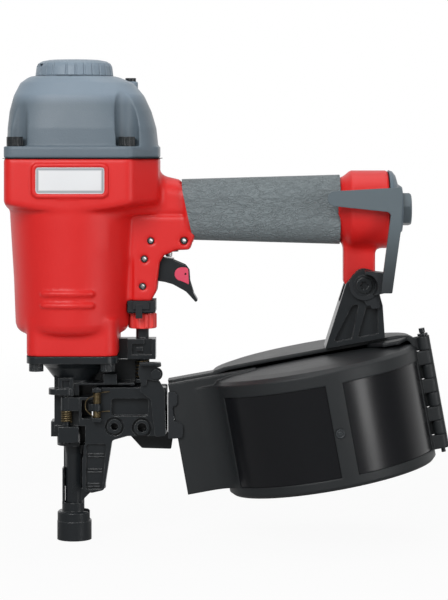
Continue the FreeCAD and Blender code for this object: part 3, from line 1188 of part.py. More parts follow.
def latch_lever():
    """Curved lever with a rolled thumb edge."""
    y1 = DOOR_FRONT_Y - 1.2 - 2.6 - RUN_GAP
    y0 = y1 - 2.0
    face = plate([(46.6, 125.8, 1), (61.0, 125.8, 1), (61.6, 122.6, 1), (53.0, 121.4, 3), (51.2, 110.0, 1),
                  (48.2, 109.0, 1), (45.4, 118.0, 5)], "XZ", y0, y1)
    hub = rod(4.6, (LATCH_X, y0, LATCH_Z), (LATCH_X, y1, LATCH_Z))
    arm = plate([(49.0, 122.8), (58.0, 122.0), (62.0, 119.0), (57.0, 113.0), (49.0, 114.0)], "XZ", y0, y1)
    lip = box(46.8, 60.8, y0 - 6, y1, 124.0, 125.8)
    bore = rod(2.2 + PIN_FIT, (LATCH_X, y0 - 1, LATCH_Z), (LATCH_X, y1 + 1, LATCH_Z))
    return face.multiFuse([hub, arm, lip]).cut(bore)


def nose_door_pin():
    """Vertical rod that the nose door turns on."""
    return rod(DOOR_PIN_R, (DOOR_PIN_X, DOOR_PIN_Y, HINGE_LOW_Z[0] - 1.5), (DOOR_PIN_X, DOOR_PIN_Y, 110))


def nose_door_spring():
    """Short spring on the rod, under the door's knuckle."""
    return coil(DOOR_PIN_R + 1.2, 0.75, 1.6, (DOOR_PIN_X, DOOR_PIN_Y, 82.6),
                (DOOR_PIN_X, DOOR_PIN_Y, KNUCKLE_Z[0] - 0.2))


def check_pawl():
    """Pawl in the door that stops the nails from going back."""
    z0, z1 = 92.0, 96.6
    x, y = PAWL_PIN_X, PAWL_PIN_Y
    hub = rod(3.2, (x, y, z0), (x, y, z1))
    tongue = plate([(x - 1.0, y + 2.0, 0.4), (x - 3.0, y - 1.4, 1), (x - 6.0, y + 1.0, 1),
                    (x - 6.2, -6.0, 0.8),
                    (x - 4.6, -2.6, 0.5), (x - 2.9, -5.8, 0.8), (x - 2.9, y + 3.8, 0.6)], "XY", z0, z1)
    return hub.fuse(tongue).cut(rod(PAWL_PIN_R + PIN_FIT, (x, y, z0 - 1), (x, y, z1 + 1)))


def pawl_pin():
    """Vertical pin of the check pawl."""
    return rod(PAWL_PIN_R, (PAWL_PIN_X, PAWL_PIN_Y, PAWL_Z[0] - 2.6),
               (PAWL_PIN_X, PAWL_PIN_Y, PAWL_Z[1] + 2))


def door_pins():
    """Pawl pin and latch bolt, both fixed in the nose door."""
    return [pawl_pin(), latch_bolt()]


def door_springs():
    """Double torsion spring on the pawl pin, and the short spring under the door's knuckle."""
    x, y = PAWL_PIN_X, PAWL_PIN_Y
    r = PAWL_PIN_R + 0.75
    low = coil(r, 0.5, 1.05, (x, y, PAWL_Z[0] + 0.3), (x, y, 91.8))
    high = coil(r, 0.5, 1.05, (x, y, 96.8), (x, y, PAWL_Z[1] - 1.2))
    return [low, high, nose_door_spring()]


# ==== magazine (in its own frame: u along, w across, v up) ========================================
DOOR_LID = ((0, 84.4), (40, 83.6), (60, 82.2), (70, 80.6), (MAG_R, 78.0))
REAR_LID = ((0, 88.6), (40, 88.5), (62, 88.2), (69, 87.0), (72, 84.8), (MAG_R, 82.0))
REAR_NECK_V = 86.0
PAD_TOP_V = 86.4
WINDOW_V = (7.8, 70.0)
WINDOW_ANGLES = ((-63.0, 3.0), (12.2, 76.0))
RIVET_U = 8.0
RIVET_V = 37.0
RIVET_R = 1.6
RIVET_HEAD_R = 3.3
KNUCKLES = 4
HINGE_V = (6.0, 85.0)
FINGER_X = 66.0
FINGER_Z = ((73.0, 82.6), (95.8, 104.8))


def wedge(angle0, angle1, reach, low, high):
    """Pie slice in front of the drum's axis; angles are from the front, towards +u."""
    points = [(0, 0)]
    steps = 6
    for i in range(steps + 1):
        a = radians(angle0 + (angle1 - angle0) * i / steps)
        points.append((reach * sin(a), -reach * cos(a)))
    return plate(points, "XY", low, high)


def neck_fillet(face, top):
    """Concave fillet between a flat side of the neck and the drum."""
    side = 1 if face > 0 else -1
    reach = MAG_R + NECK_FILLET_R
    flat = abs(face) + NECK_FILLET_R
    u = -sqrt(reach ** 2 - flat ** 2)
    touch_u, touch_w = u * MAG_R / reach, side * flat * MAG_R / reach
    corner_u = (MAG_R ** 2 - touch_w * face) / touch_u
    return plate([(u - 4, face - side * MAG_WALL), (u - 4, face), (corner_u, face, NECK_FILLET_R),
                  (touch_u, touch_w), (touch_u + 4, face - side * MAG_WALL)], "XY", NECK_V[0], top)


def magazine_shell(lid, neck_top):
    """Drum and neck as one hollow shell, before it is split."""
    neck = box(NECK_U, -40, NECK_FRONT, NECK_BACK, NECK_V[0], neck_top)
    corner = 2.0
    drum = turned([(0, 0), (MAG_R - corner, 0), (MAG_R, corner)] + list(reversed(lid)))
    inner = turned([(0, MAG_WALL), (MAG_R - MAG_WALL, MAG_WALL)]
                   + [(max(r - MAG_WALL, 0), v - MAG_WALL) for r,
                      v in reversed(lid)] + [(0, lid[0][1] - MAG_WALL)])
    way = box(NECK_U - 1, -40, NECK_FRONT + MAG_WALL, NECK_BACK - MAG_WALL, NECK_V[0] + MAG_WALL,
              NECK_V[1] - MAG_WALL)
    rim = lid[-1][1]
    fillets = [neck_fillet(NECK_FRONT, rim), neck_fillet(NECK_BACK, rim)]
    return drum.multiFuse([neck] + fillets).cut(inner.fuse(way))


def hinge_knuckles(odd, side):
    """Every other knuckle of the hinge, with its leaf to one side of the split."""
    low, high = HINGE_V
    step = (high - low) / KNUCKLES / 2
    made = []
    for i in range(KNUCKLES * 2):
        if i % 2 != odd:
            continue
        v0 = low + i * step + 0.15
        v1 = low + (i + 1) * step - 0.15
        knuckle = rod(HINGE_R, (HINGE_U, HINGE_W, v0), (HINGE_U, HINGE_W, v1))
        w0, w1 = sorted((HINGE_W + side * 0.2, HINGE_W + side * HINGE_R))
        made.append(knuckle.fuse(box(MAG_R - 3.2, HINGE_U, w0, w1, v0, v1)))
    return made


def pin_bore(gap):
    return rod(HINGE_PIN_R + gap, (HINGE_U, HINGE_W, -10), (HINGE_U, HINGE_W, 100))


def magazine_canister():
    """Fixed rear half of the magazine, with the raised part of the lid."""
    keep = box(-130, 130, MAG_SPLIT, 130, -10, 120)
    shell = magazine_shell(REAR_LID, REAR_NECK_V).common(keep)
    pad = plate([(39, MAG_SPLIT + 3), (49, MAG_SPLIT - 18, 1), (60, MAG_SPLIT - 18, 2),
                 (69, MAG_SPLIT + 3)], "XY",
                DOOR_LID[1][1] + RUN_GAP, PAD_TOP_V)
    room = [rod(HINGE_R + RUN_GAP, (HINGE_U, HINGE_W, -1), (HINGE_U, HINGE_W, HINGE_V[1] + 1))]
    body = shell.fuse(pad).cut(Part.makeCompound(room))
    body = body.multiFuse([k.cut(box(0, 120, -130, MAG_SPLIT - 20, -1, 120)) for k in hinge_knuckles(1, 1)])
    return in_magazine(body.cut(pin_bore(0)))


def rivet():
    """Rivet in the magazine's own frame."""
    r = sqrt(MAG_R ** 2 - RIVET_U ** 2)
    head = rod(RIVET_HEAD_R, (RIVET_U, -r - 1.0, RIVET_V), (RIVET_U, -r + 0.3, RIVET_V))
    return head.fuse(rod(RIVET_R, (RIVET_U, -r, RIVET_V), (RIVET_U, -MAG_R + MAG_WALL + 1.4, RIVET_V)))


def door_openings():
    low, high = WINDOW_V
    return [wedge(a0, a1, MAG_R + 5, low, high) for a0, a1 in WINDOW_ANGLES]


def magazine_door():
    """Hinged front half of the magazine, with two window openings."""
    keep = box(-130, 130, -130, MAG_SPLIT - RUN_GAP, -10, 120)
    shell = magazine_shell(DOOR_LID, NECK_V[1]).common(keep)
    room = rod(HINGE_R + RUN_GAP, (HINGE_U, HINGE_W, -1), (HINGE_U, HINGE_W, HINGE_V[1] + 1))
    band = turned([(MAG_R - 9, 0), (MAG_R + 6, 0), (MAG_R + 6, 90), (MAG_R - 9, 90)])
    frames = [o.common(band) for o in door_openings()]
    body = shell.cut(Part.makeCompound([room] + frames)).multiFuse(hinge_knuckles(0, -1))
    return in_magazine(body.cut(Part.makeCompound([pin_bore(PIN_FIT), rivet()])))


def door_windows():
    """Two smoked windows that fill the openings of the door."""
    skin = turned([(MAG_R - MAG_WALL, 0), (MAG_R - 0.7, 0), (MAG_R - 0.7, 90), (MAG_R - MAG_WALL, 90)])
    panels = [o.common(skin) for o in door_openings()]
    return [in_magazine(p) for p in panels]


def window_rivet():
    """Rivet between the windows."""
    return in_magazine(rivet())


def catch_plate():
    """C-shaped plate on the door's neck, with two round-ended fingers."""
    y0, y1 = NECK_FRONT - 2.2, NECK_FRONT
    x0 = FINGER_X
    (low0, low1), (high0, high1) = FINGER_Z
    return plate([(x0, high1, 1), (x0 + 6.4, high1, 2.4), (x0 + 6.4, high0, 2.4),
                  (x0 + 3.0, high0 - 1.0, 1.5),
                  (x0 + 4.4, low1 + 2, 1.5), (x0 + 10.4, low1, 2.6), (x0 + 10.4, low0, 2.6),
                  (x0, low0 - 0.6, 1)],
                 "XZ", y0, y1)


def hinge_pin():
    """Pin of the magazine door, with its washer on top."""
    low, high = HINGE_V
    pin = rod(HINGE_PIN_R, (HINGE_U, HINGE_W, low - 3), (HINGE_U, HINGE_W, high + 4.6))
    tip = rod(2.1, (HINGE_U, HINGE_W, high + 2.4), (HINGE_U, HINGE_W, high + 5.4))
    washer = tube(3.6, HINGE_PIN_R, (HINGE_U, HINGE_W, high + RUN_GAP), (HINGE_U, HINGE_W, high + 1.7))
    return [in_magazine(pin.fuse(tip)), in_magazine(washer)]


def tray_post():
    """Post on the canister floor that the nail tray slides on."""
    top = TRAY_V + TRAY_HUB_H + TRAY_LIFT + POST_SPARE
    return in_magazine(rod(POST_R, (0, 0, MAG_WALL), (0, 0, top)))


def nail_tray():
    """Round tray that carries the coil of nails; it slides up the post for shorter nails."""
    disc = tube(TRAY_R, POST_R + RUN_GAP, (0, 0, TRAY_V), (0, 0, TRAY_V + TRAY_T))
    hub = tube(POST_R + 4, POST_R + RUN_GAP, (0, 0, TRAY_V), (0, 0, TRAY_V + TRAY_HUB_H))
    return in_magazine(disc.fuse(hub))


# ==== magazine arm and belt hook ==================================================================
ARM_BASE_V = 88.7
ARM_BASE_U = (10.0, 52.0)
ARM_RECESS = 4.0


def arm_point(u, v):
    """Tool coordinates (x, z) of a place in the magazine's mid plane."""
    t = radians(MAG_TILT)
    return MAG_X + u * cos(t) - v * sin(t), MAG_Z + u * sin(t) + v * cos(t)


def magazine_arm():
    """Ribbed triangular casting between the lug on the handle and the canister."""
    (x0, z0), (x1, z1) = arm_point(ARM_BASE_U[0], ARM_BASE_V), arm_point(ARM_BASE_U[1], ARM_BASE_V)
    half = LUG_HALF + EAR_T
    top_z = ARM_Z + EAR_R
    side = [(x0, z0), (x1, z1), (214.8, 164.0, 2), (212.6, 172.0, 8), (ARM_X + 8.0, top_z - 1.0, 6),
            (ARM_X - 3.0, top_z + 1.0, 7), (ARM_X - 12.4, ARM_Z + 0.6, 6)]
    body = plate(side, "XZ", -half, half)
    slot = box(ARM_X - 30, ARM_X + 30, -LUG_HALF, LUG_HALF, ARM_Z - EAR_R - 1, top_z + 30)
    recess_a = [(x0 + 5.6, z0 + 4.6, 1), (x0 + 18.6, z0 + 7.0, 1), (198.2, 165.0, 1), (193.4, 164.0, 1)]
    recess_b = [(x0 + 22.4, z0 + 7.6, 1), (x1 - 4.4, z1 + 2.8, 1), (211.0, 162.4, 1), (203.4, 163.0, 1)]
    cuts = [rod(ARM_SCREW_R, (ARM_X, -40, ARM_Z), (ARM_X, 40, ARM_Z)), slot]
    for recess in (recess_a, recess_b):
        cuts.append(plate(recess, "XZ", -half - 1, -half + ARM_RECESS))
        cuts.append(plate(recess, "XZ", half - ARM_RECESS, half + 1))
    return body.cut(Part.makeCompound(cuts))


HOOK_SIDE = (
    (175.6, 243.6, 4.8), (226.6, 246.4, 2.6), (225.8, 219.0), (219.6, 174.0, 1.0), (212.0, 174.0, 1.0),
    (213.8, 190.0), (219.0, 229.4, 3.0), (175.6, 234.0, 4.8),
)


def belt_hook():
    """Flat steel hook in front of the handle's end."""
    return plate(HOOK_SIDE, "XZ", HOOK_FRONT, HOOK_FRONT + HOOK_T)


def hook_bracket():
    """Black bracket on the arm screw: ring, side block for the hook and stepped lower catch."""
    y1 = -LUG_HALF - EAR_T
    y0 = y1 - 4
    ring = rod(EAR_R - 0.6, (ARM_X, y0, ARM_Z), (ARM_X, y1, ARM_Z))
    block = plate([(ARM_X, 189.0, 1), (219.6, 187.0, 1), (218.0, 174.6, 1), (ARM_X, 171.0)], "XZ",
                  HOOK_FRONT + HOOK_T, y1)
    block = block.cut(rod(EAR_R - 2.6, (ARM_X, -60, ARM_Z), (ARM_X, y0, ARM_Z)))
    catch = plate([(197.6, 168.6, 1), (201.8, 167.0), (203.2, 164.0, 1), (206.0, 164.0), (207.0, 161.8, 1),
                   (212.6, 162.4, 1),
                   (212.6, 172.0), (200.0, 172.0)], "XZ", y0 + 1, y1)
    cup = rod(7.4, (ARM_X, y0 - 1, ARM_Z), (ARM_X, y0 + 1.6, ARM_Z))
    bore = rod(ARM_SCREW_R, (ARM_X, y0 - 2, ARM_Z), (ARM_X, y1 + 1, ARM_Z))
    return ring.multiFuse([block, catch]).cut(Part.makeCompound([cup, bore]))


def arm_screw():
    """Torx screw and its cup washer; it clamps the arm and the bracket to the lug."""
    y1 = -LUG_HALF - EAR_T
    y0 = y1 - 4
    head = cone(5.2, 5.6, (ARM_X, y0 - 1.6, ARM_Z), (ARM_X, y0 + 1.6, ARM_Z))
    washer = tube(7.4, ARM_SCREW_R - 0.5, (ARM_X, y0, ARM_Z), (ARM_X, y0 + 1.6, ARM_Z))
    shank = rod(ARM_SCREW_R, (ARM_X, y0, ARM_Z), (ARM_X, LUG_HALF + EAR_T, ARM_Z))
    nut = rod(7.0, (ARM_X, LUG_HALF + EAR_T, ARM_Z), (ARM_X, LUG_HALF + EAR_T + 4, ARM_Z))
    star = Part.makeCompound([rod(1.0, (ARM_X + 2.1 * cos(pi / 3 * i), y0 - 2,
                                        ARM_Z + 2.1 * sin(pi / 3 * i)),
                                  (ARM_X + 2.1 * cos(pi / 3 * i), y0 + 0.6,
                                   ARM_Z + 2.1 * sin(pi / 3 * i))) for i in range(6)])
    core = rod(2.2, (ARM_X, y0 - 2, ARM_Z), (ARM_X, y0 + 0.6, ARM_Z))
    return head.multiFuse([washer, shank, nut]).cut(star.fuse(core))


# ==== output ======================================================================================
PIECES = (
    main_housing, nameplate, roll_pins, cylinder_cap, cap_bolts, gaskets, cylinder_sleeve, sleeve_seals,
    bumper, piston, piston_ring, driver_blade, head_valve, head_valve_spring, exhaust_deflector,
    deflector_screw,
    grip_sleeve, handle_end_cap, air_inlet_plug, trigger, trigger_inserts, trigger_lever,
    trigger_valve_housing, valve_stem, trigger_valve_spring, contact_foot, contact_link, contact_rod,
    contact_spring, depth_yoke, depth_knob, depth_stem, contact_guide, nose_casting, nose_bolts,
    feed_guide_plate, feed_cylinder, feed_piston, feed_pawl, feed_spring, nose_door, door_bushings,
    door_strap,
    door_pins, door_springs, latch_lever, nose_door_pin, check_pawl, magazine_canister, magazine_door,
    door_windows, window_rivet, catch_plate, hinge_pin, tray_post, nail_tray, magazine_arm, belt_hook,
    hook_bracket, arm_screw,
)

os.makedirs("parts", exist_ok=True)
for piece in PIECES:
    made = piece()
    save(piece.__name__, *(made if isinstance(made, list) else [made]))
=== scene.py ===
"""Looks of the pneumatic coil nailer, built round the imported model.

The scene is in metres. Modelled pieces are drawn in millimetres, in the CAD model's own frame.
"""
import json
from functools import reduce
from math import cos, pi, radians, sin

import bpy
import numpy as np
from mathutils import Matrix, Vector


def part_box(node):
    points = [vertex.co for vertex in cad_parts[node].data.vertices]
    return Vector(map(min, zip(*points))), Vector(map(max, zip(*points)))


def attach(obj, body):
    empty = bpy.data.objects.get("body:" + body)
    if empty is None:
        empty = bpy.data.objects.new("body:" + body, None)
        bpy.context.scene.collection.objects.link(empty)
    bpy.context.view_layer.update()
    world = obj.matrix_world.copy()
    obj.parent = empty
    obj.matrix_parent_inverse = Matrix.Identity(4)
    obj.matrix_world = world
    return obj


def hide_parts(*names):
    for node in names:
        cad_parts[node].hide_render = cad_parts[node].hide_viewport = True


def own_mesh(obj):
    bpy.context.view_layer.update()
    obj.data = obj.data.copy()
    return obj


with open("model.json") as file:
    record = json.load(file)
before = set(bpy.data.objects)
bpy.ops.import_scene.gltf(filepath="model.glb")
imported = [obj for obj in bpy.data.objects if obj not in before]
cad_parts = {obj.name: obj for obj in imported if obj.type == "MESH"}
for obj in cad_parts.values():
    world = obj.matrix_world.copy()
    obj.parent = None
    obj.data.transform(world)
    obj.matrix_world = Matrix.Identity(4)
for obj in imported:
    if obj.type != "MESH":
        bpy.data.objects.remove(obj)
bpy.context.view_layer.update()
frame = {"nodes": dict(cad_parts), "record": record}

MM = 0.001


# ==== mesh helpers ================================================================================
def piece(name, verts_mm, faces, body, slot, node):
    """A mesh object at the origin from millimetre points, riding on a body and taking over a CAD node."""
    mesh = bpy.data.meshes.new(name)
    mesh.from_pydata((np.asarray(verts_mm, float) * MM).tolist(), [], [list(f) for f in faces])
    mesh.validate()
    mesh.polygons.foreach_set("use_smooth", [True] * len(mesh.polygons))
    obj = bpy.data.objects.new(name, mesh)
    bpy.context.scene.collection.objects.link(obj)
    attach(obj, body)
    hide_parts(node)
    return obj


def skin(field, low, step):
    """Surface net of a signed distance field on a grid, negative inside.

    Each grid cell that the surface crosses gets one point, the mean of the places where the cell's
    edges are crossed, and each crossed grid edge gets the quad of the four cells round it.
    """
    inside = field < 0
    shape = np.array(field.shape)
    total = np.zeros(tuple(shape - 1) + (3,))
    count = np.zeros(tuple(shape - 1))
    quads = []
    cell_id = -np.ones(tuple(shape - 1), int)
    crossings = []
    for a in range(3):
        b, c = (a + 1) % 3, (a + 2) % 3
        first = [slice(None)] * 3
        second = [slice(None)] * 3
        first[a], second[a] = slice(0, -1), slice(1, None)
        f0, f1 = field[tuple(first)], field[tuple(second)]
        cross = inside[tuple(first)] != inside[tuple(second)]
        spot = np.argwhere(cross)
        keep = np.all((spot[:, [b, c]] > 0) & (spot[:, [b, c]] < shape[[b, c]] - 1), axis=1)
        spot = spot[keep]
        at = tuple(spot.T)
        share = f0[at] / (f0[at] - f1[at])
        place = spot.astype(float)
        place[:, a] += share
        for db in (0, -1):
            for dc in (0, -1):
                cell = spot.copy()
                cell[:, b] += db
                cell[:, c] += dc
                np.add.at(total, tuple(cell.T), place)
                np.add.at(count, tuple(cell.T), 1)
        crossings.append((a, b, c, spot, f0[at] < 0))
    used = count > 0
    cell_id[used] = np.arange(used.sum())
    verts = np.asarray(low) + step * total[used] / count[used][:, None]
    for a, b, c, spot, out in crossings:
        ring = []
        for db, dc in ((0, 0), (-1, 0), (-1, -1), (0, -1)):
            cell = spot.copy()
            cell[:, b] += db
            cell[:, c] += dc
            ring.append(cell_id[tuple(cell.T)])
        ring = np.stack(ring, 1)
        ring[~out] = ring[~out][:, ::-1]
        quads.append(ring)
    return verts, np.concatenate(quads)


def grid(low, high, step):
    """Coordinates of a regular grid of points between two corners."""
    axes = [np.arange(a, b + step, step) for a, b in zip(low, high)]
    return np.meshgrid(*axes, indexing="ij")


def join(a, b, k):
    """Union of two fields with a fillet of about k."""
    h = np.clip(0.5 + 0.5 * (b - a) / k, 0, 1)
    return b * (1 - h) + a * h - k * h * (1 - h)


def carve(a, b, k):
    """First field without the second, with the edge rounded by about k."""
    return -join(-a, b, k)


def meet(a, b, k):
    """Common part of two fields, with the edge rounded by about k."""
    return -join(-a, -b, k)


def corner(d, e, r):
    """Common part of two half spaces, with the corner between them rounded by r."""
    return np.sqrt(np.maximum(d, 0) ** 2 + np.maximum(e, 0) ** 2) + np.minimum(np.maximum(d, e), 0) - r


def block(p, low, high, r=0.0):
    """Distance to a box, or to a rectangle in a plane, with corners rounded by r."""
    d = [np.maximum(lo + r - q, q - (hi - r)) for q, lo, hi in zip(p, low, high)]
    far = np.sqrt(sum(np.maximum(q, 0) ** 2 for q in d))
    return far + np.minimum(reduce(np.maximum, d), 0) - r


def area(a, b, points):
    """Signed distance to a closed polygon in a plane."""
    pts = np.asarray(points, float)
    best = np.full(np.broadcast(a, b).shape, 1e9)
    inside = np.zeros(best.shape, bool)
    for (x0, y0), (x1, y1) in zip(pts, np.roll(pts, -1, 0)):
        ex, ey = x1 - x0, y1 - y0
        t = np.clip(((a - x0) * ex + (b - y0) * ey) / (ex * ex + ey * ey), 0, 1)
        best = np.minimum(best, (a - x0 - t * ex) ** 2 + (b - y0 - t * ey) ** 2)
        if y0 != y1:
            inside ^= ((y0 > b) != (y1 > b)) & (a < (x1 - x0) * (b - y0) / (y1 - y0) + x0)
    return np.where(inside, -1, 1) * np.sqrt(best)


def prism(flat, along, low, high, r=0.0):
    """Extrusion of a plane distance between two levels, with edges rounded by r."""
    return corner(np.maximum(low + r - along, along - (high - r)), flat + r, r)


def rod(p, start, end, radius, r=0.0):
    """Cylinder between two points."""
    s, e = np.asarray(start, float), np.asarray(end, float)
    way = (e - s) / np.linalg.norm(e - s)
    q = [p[i] - s[i] for i in range(3)]
    t = sum(q[i] * way[i] for i in range(3))
    rho = np.sqrt(np.maximum(sum(v * v for v in q) - t * t, 0))
    return prism(rho - radius, t, 0, np.linalg.norm(e - s), r)


def upright(p, x, y, low, high, radius, r=0.0):
    """Cylinder that stands at x, y."""
    return rod(p, (x, y, low), (x, y, high), radius, r)


def read_table(at, table):
    """Value at each place, from pairs of place and value joined by straight lines."""
    places, values = zip(*table)
    return np.interp(at, places, values)


# ==== housing =====================================================================================
BARREL_X = -1.2            # the cast barrel stands this far from the driver's axis
BARREL_Z = (144.5, 262)
BARREL_RADII = ((141, 36.5), (151.5, 39.8), (183, 41.0), (225, 43.6), (262, 44.6))
BASE_HALF = 31.4           # square base that the nose is bolted to
BASE_Z = (130.2, 156)
HEAD_PLAN = ((-46.6, -44), (44, -44), (61.2, -22), (61.2, 22), (44, 44), (-46.6, 44))
HEAD_CORNER_R = 7.4
HEAD_Z = (224, 266)
CAP_BOLTS = tuple((x, y) for x in (-38.3, 38.3) for y in (-36, 36))
NOSE_BOLTS = tuple((x, y) for x in (-24.6, 24.6) for y in (-24.6, 24.6))
BOLT_R = 3.0
NECK_HALF_Y = ((18, 34), (44, 23), (60, 14.4), (74, 14.4), (96, 16.3))
NECK_LOW_Z = ((18, 194), (44, 197), (60, 201), (74, 204.5), (88, 210.5))
NECK_TOP_Z = ((18, 256), (44, 256), (60, 254.5), (74, 251.2), (88, 249.6))
NECK_CORNER_R = 12.5
NECK_X = (15, 90)
HOLLOW_X = (24, 77)        # hollow on each side of the neck
HOLLOW_TOP_Z = 227
HOLLOW_IN_Y = 13
HANDLE_Z = 230.5           # height of the handle's axis
HANDLE_START_X = 83
HANDLE_LENGTH = 102.3
GRIP_END_X = 185.4
GRIP_T = 2.4
CHEEK_SIDE = ((53.8, 167.4), (57.7, 174), (58.6, 183), (59.9, 194), (62.9, 199), (71.7, 202.6), (80.4, 203),
              (84.5, 213), (84.0, 219), (78.0, 226.0))
CHEEK_IN_Y = 9
ROLL_PINS = ((53.8, 209.0), (76.9, 209.0), (49.4, 196.4), (48.2, 177.4))
ROLL_PIN_R = 2.3
DRUM_SIDE = ((182, -30), (182, 18), (185.3, 21), (193, 27.2), (219, 27.2), (219, -30))
LUG_SIDE = ((188, 218), (188, 180), (190, 177), (195, 170.5), (199, 168.6), (206, 168.6), (210, 172),
            (210, 218))
LUG_HALF_Y = 8
RIB_Z = (173.7, 165.6)     # two cast ribs across the barrel
RIB_R = 2.0
RIB_HALF_X = 17
PLATE_RIM = ((-26.3, 239.4), (26.3, 263.0))
PLATE_SEAT = ((-23.7, 242.0), (23.7, 260.4))
STEM_X = 66.2              # axis of the trigger's valve
ROD_X = 47.6               # axis of the contact rod
LOWER_BORE_R = 28.0
UPPER_BORE_R = 36.0
BLADE_HOLE_R = 9
AIR_BORE_R = 12.5
VALVE_BORE_R = 6.6
KNOB_ROOM_R = 10.6
NOSE_THREAD_R = 2.5
PIN_RECESS_R = 3.4


def handle_field(x, y, z, grow):
    """Handle: a rounded rectangle whose height changes evenly along it, grown by a thickness."""
    along = np.clip((x - HANDLE_START_X) / HANDLE_LENGTH, -0.4, 1.1)
    half_z = 19 + 2.9 * along + grow
    half_y = 16.3 + grow
    r = 13 + grow
    return corner(np.abs(y) - half_y + r, np.abs(z - HANDLE_Z) - half_z + r, r)


def head_plan(x, y):
    """Six-sided outline of head and cap: drawn smaller, then grown by the radius of its corners."""
    return area(x, y, [(px * 0.84 + 0.8, py * 0.83) for px, py in HEAD_PLAN]) - HEAD_CORNER_R


def barrel_field(x, y, z, rho):
    """Tapered barrel on its square base."""
    barrel = prism(rho - read_table(z, BARREL_RADII), z, *BARREL_Z, 5.0)
    base = prism(block((x, y), (-BASE_HALF, -BASE_HALF), (BASE_HALF, BASE_HALF), 9.0), z, *BASE_Z, 0.8)
    return join(barrel, base, 2.2)


def head_field(x, y, z, rho):
    """Head under the cap, cut off below by a cone whose radius grows by 3.2 for each 1 of height."""
    cone = (rho - 34.4 - 3.2 * (z - 227)) / 3.35
    return meet(prism(head_plan(x, y), z, *HEAD_Z, 0.7), cone, 3.0)


def neck_field(x, y, z):
    """Neck from the barrel to the handle, hollow on each side below the handle's axis."""
    r = NECK_CORNER_R
    low, top = read_table(x, NECK_LOW_Z), read_table(x, NECK_TOP_Z)
    neck = corner(np.abs(y) - read_table(x, NECK_HALF_Y) + r, np.maximum(low - z, z - top) + r, r)
    neck = np.maximum(np.maximum(neck, NECK_X[0] - x), x - NECK_X[1])
    hollow = np.maximum(np.maximum(HOLLOW_IN_Y - np.abs(y), z - HOLLOW_TOP_Z),
                        np.maximum(HOLLOW_X[0] - x, x - HOLLOW_X[1]))
    return carve(neck, hollow, 4.0)


def cheek_field(x, y, z, start_x, out_y, r):
    """Plate on each side of the trigger's valve, from start_x to the cheek's outline."""
    ends = (start_x, CHEEK_SIDE[0][1]), (start_x, CHEEK_SIDE[-1][1])
    outline = (ends[0],) + CHEEK_SIDE + (ends[1],)
    return prism(area(x, z, outline), np.abs(y), CHEEK_IN_Y, out_y, r)


def rib_field(x, y, z, rho, rib_z):
    """Half-round rib that follows the barrel's near side, with round ends."""
    radius = 40.3 + (rib_z - 165) * 0.04
    line = np.sqrt((rho - radius) ** 2 + (z - rib_z) ** 2)
    rib = np.sqrt(line ** 2 + np.maximum(np.abs(x - 2 * BARREL_X) - RIB_HALF_X, 0) ** 2)
    return np.where(y < 0, rib - RIB_R, 9)


def plate_frame(body, x, y, z):
    """The body with the raised frame and the shallow seat of the nameplate."""
    rim = prism(block((x, z), *PLATE_RIM, 4.6), y, -46.0, -42, 0.7)
    seat = prism(block((x, z), *PLATE_SEAT, 2.4), y, -48, -44.0)
    return carve(join(body, rim, 0.6), seat, 0.2)


def housing_field(x, y, z):
    """Cast housing: barrel, base, head, neck, handle, cheeks, end drum and lug, filleted into each other."""
    rho = np.sqrt((x - BARREL_X) ** 2 + y * y)
    body = join(barrel_field(x, y, z, rho), head_field(x, y, z, rho), 1.8)
    body = join(body, neck_field(x, y, z), 6.0)
    body = join(body, np.maximum(np.maximum(handle_field(x, y, z, 0), 78 - x), x - 190), 3.0)
    bridge = block((x, y, z), (30, -13, 204), (82, 13, 222), 1)
    body = join(body, np.minimum(cheek_field(x, y, z, 30, 13, 0.8), bridge), 3.0)
    body = join(body, cheek_field(x, y, z, 41.4, 15, 1.6), 1.2)
    around = np.sqrt(y * y + (z - HANDLE_Z) ** 2)
    body = join(body, area(x, around, DRUM_SIDE), 2.0)
    body = join(body, prism(area(x, z, LUG_SIDE), y, -LUG_HALF_Y, LUG_HALF_Y, 1.2), 5.0)
    for rib_z in RIB_Z:
        body = join(body, rib_field(x, y, z, rho, rib_z), 0.6)
    return plate_frame(body, x, y, z)


def housing_cuts(x, y, z):
    """Bores for cylinder, handle, valve, rod, bolts and pins, and the trigger's slot."""
    p = (x, y, z)
    cuts = [upright(p, 0, 0, 134, 267, LOWER_BORE_R), upright(p, 0, 0, 152, 267, UPPER_BORE_R),
            upright(p, 0, 0, 129, 135, BLADE_HOLE_R),
            rod(p, (20, 0, HANDLE_Z), (221, 0, HANDLE_Z), AIR_BORE_R),
            upright(p, STEM_X, 0, 199, HANDLE_Z, VALVE_BORE_R),
            block(p, (41, -CHEEK_IN_Y, 160), (64, CHEEK_IN_Y, 203.2), 0.8),
            upright(p, ROD_X, 0, 146, 159.4, KNOB_ROOM_R)]
    cuts += [upright(p, bx, by, 244, 267, BOLT_R) for bx, by in CAP_BOLTS]
    cuts += [upright(p, bx, by, 129, 146, NOSE_THREAD_R) for bx, by in NOSE_BOLTS]
    cuts += [rod(p, (px, -40, pz), (px, 40, pz), ROLL_PIN_R) for px, pz in ROLL_PINS]
    px, pz = ROLL_PINS[1]
    cuts.append(rod(p, (px, -40, pz), (px, -14.2, pz), PIN_RECESS_R))
    return reduce(np.minimum, cuts)


def grip_room(x, y, z):
    """Room round the handle for the rubber grip, whose front edge leans."""
    sleeve = np.maximum(handle_field(x, y, z, GRIP_T), -handle_field(x, y, z, -0.05))
    front = HANDLE_START_X - 8.4 * np.clip((z - 211) / 38, 0, 1) ** 1.3
    return np.maximum(np.maximum(sleeve, x - GRIP_END_X), front - x)


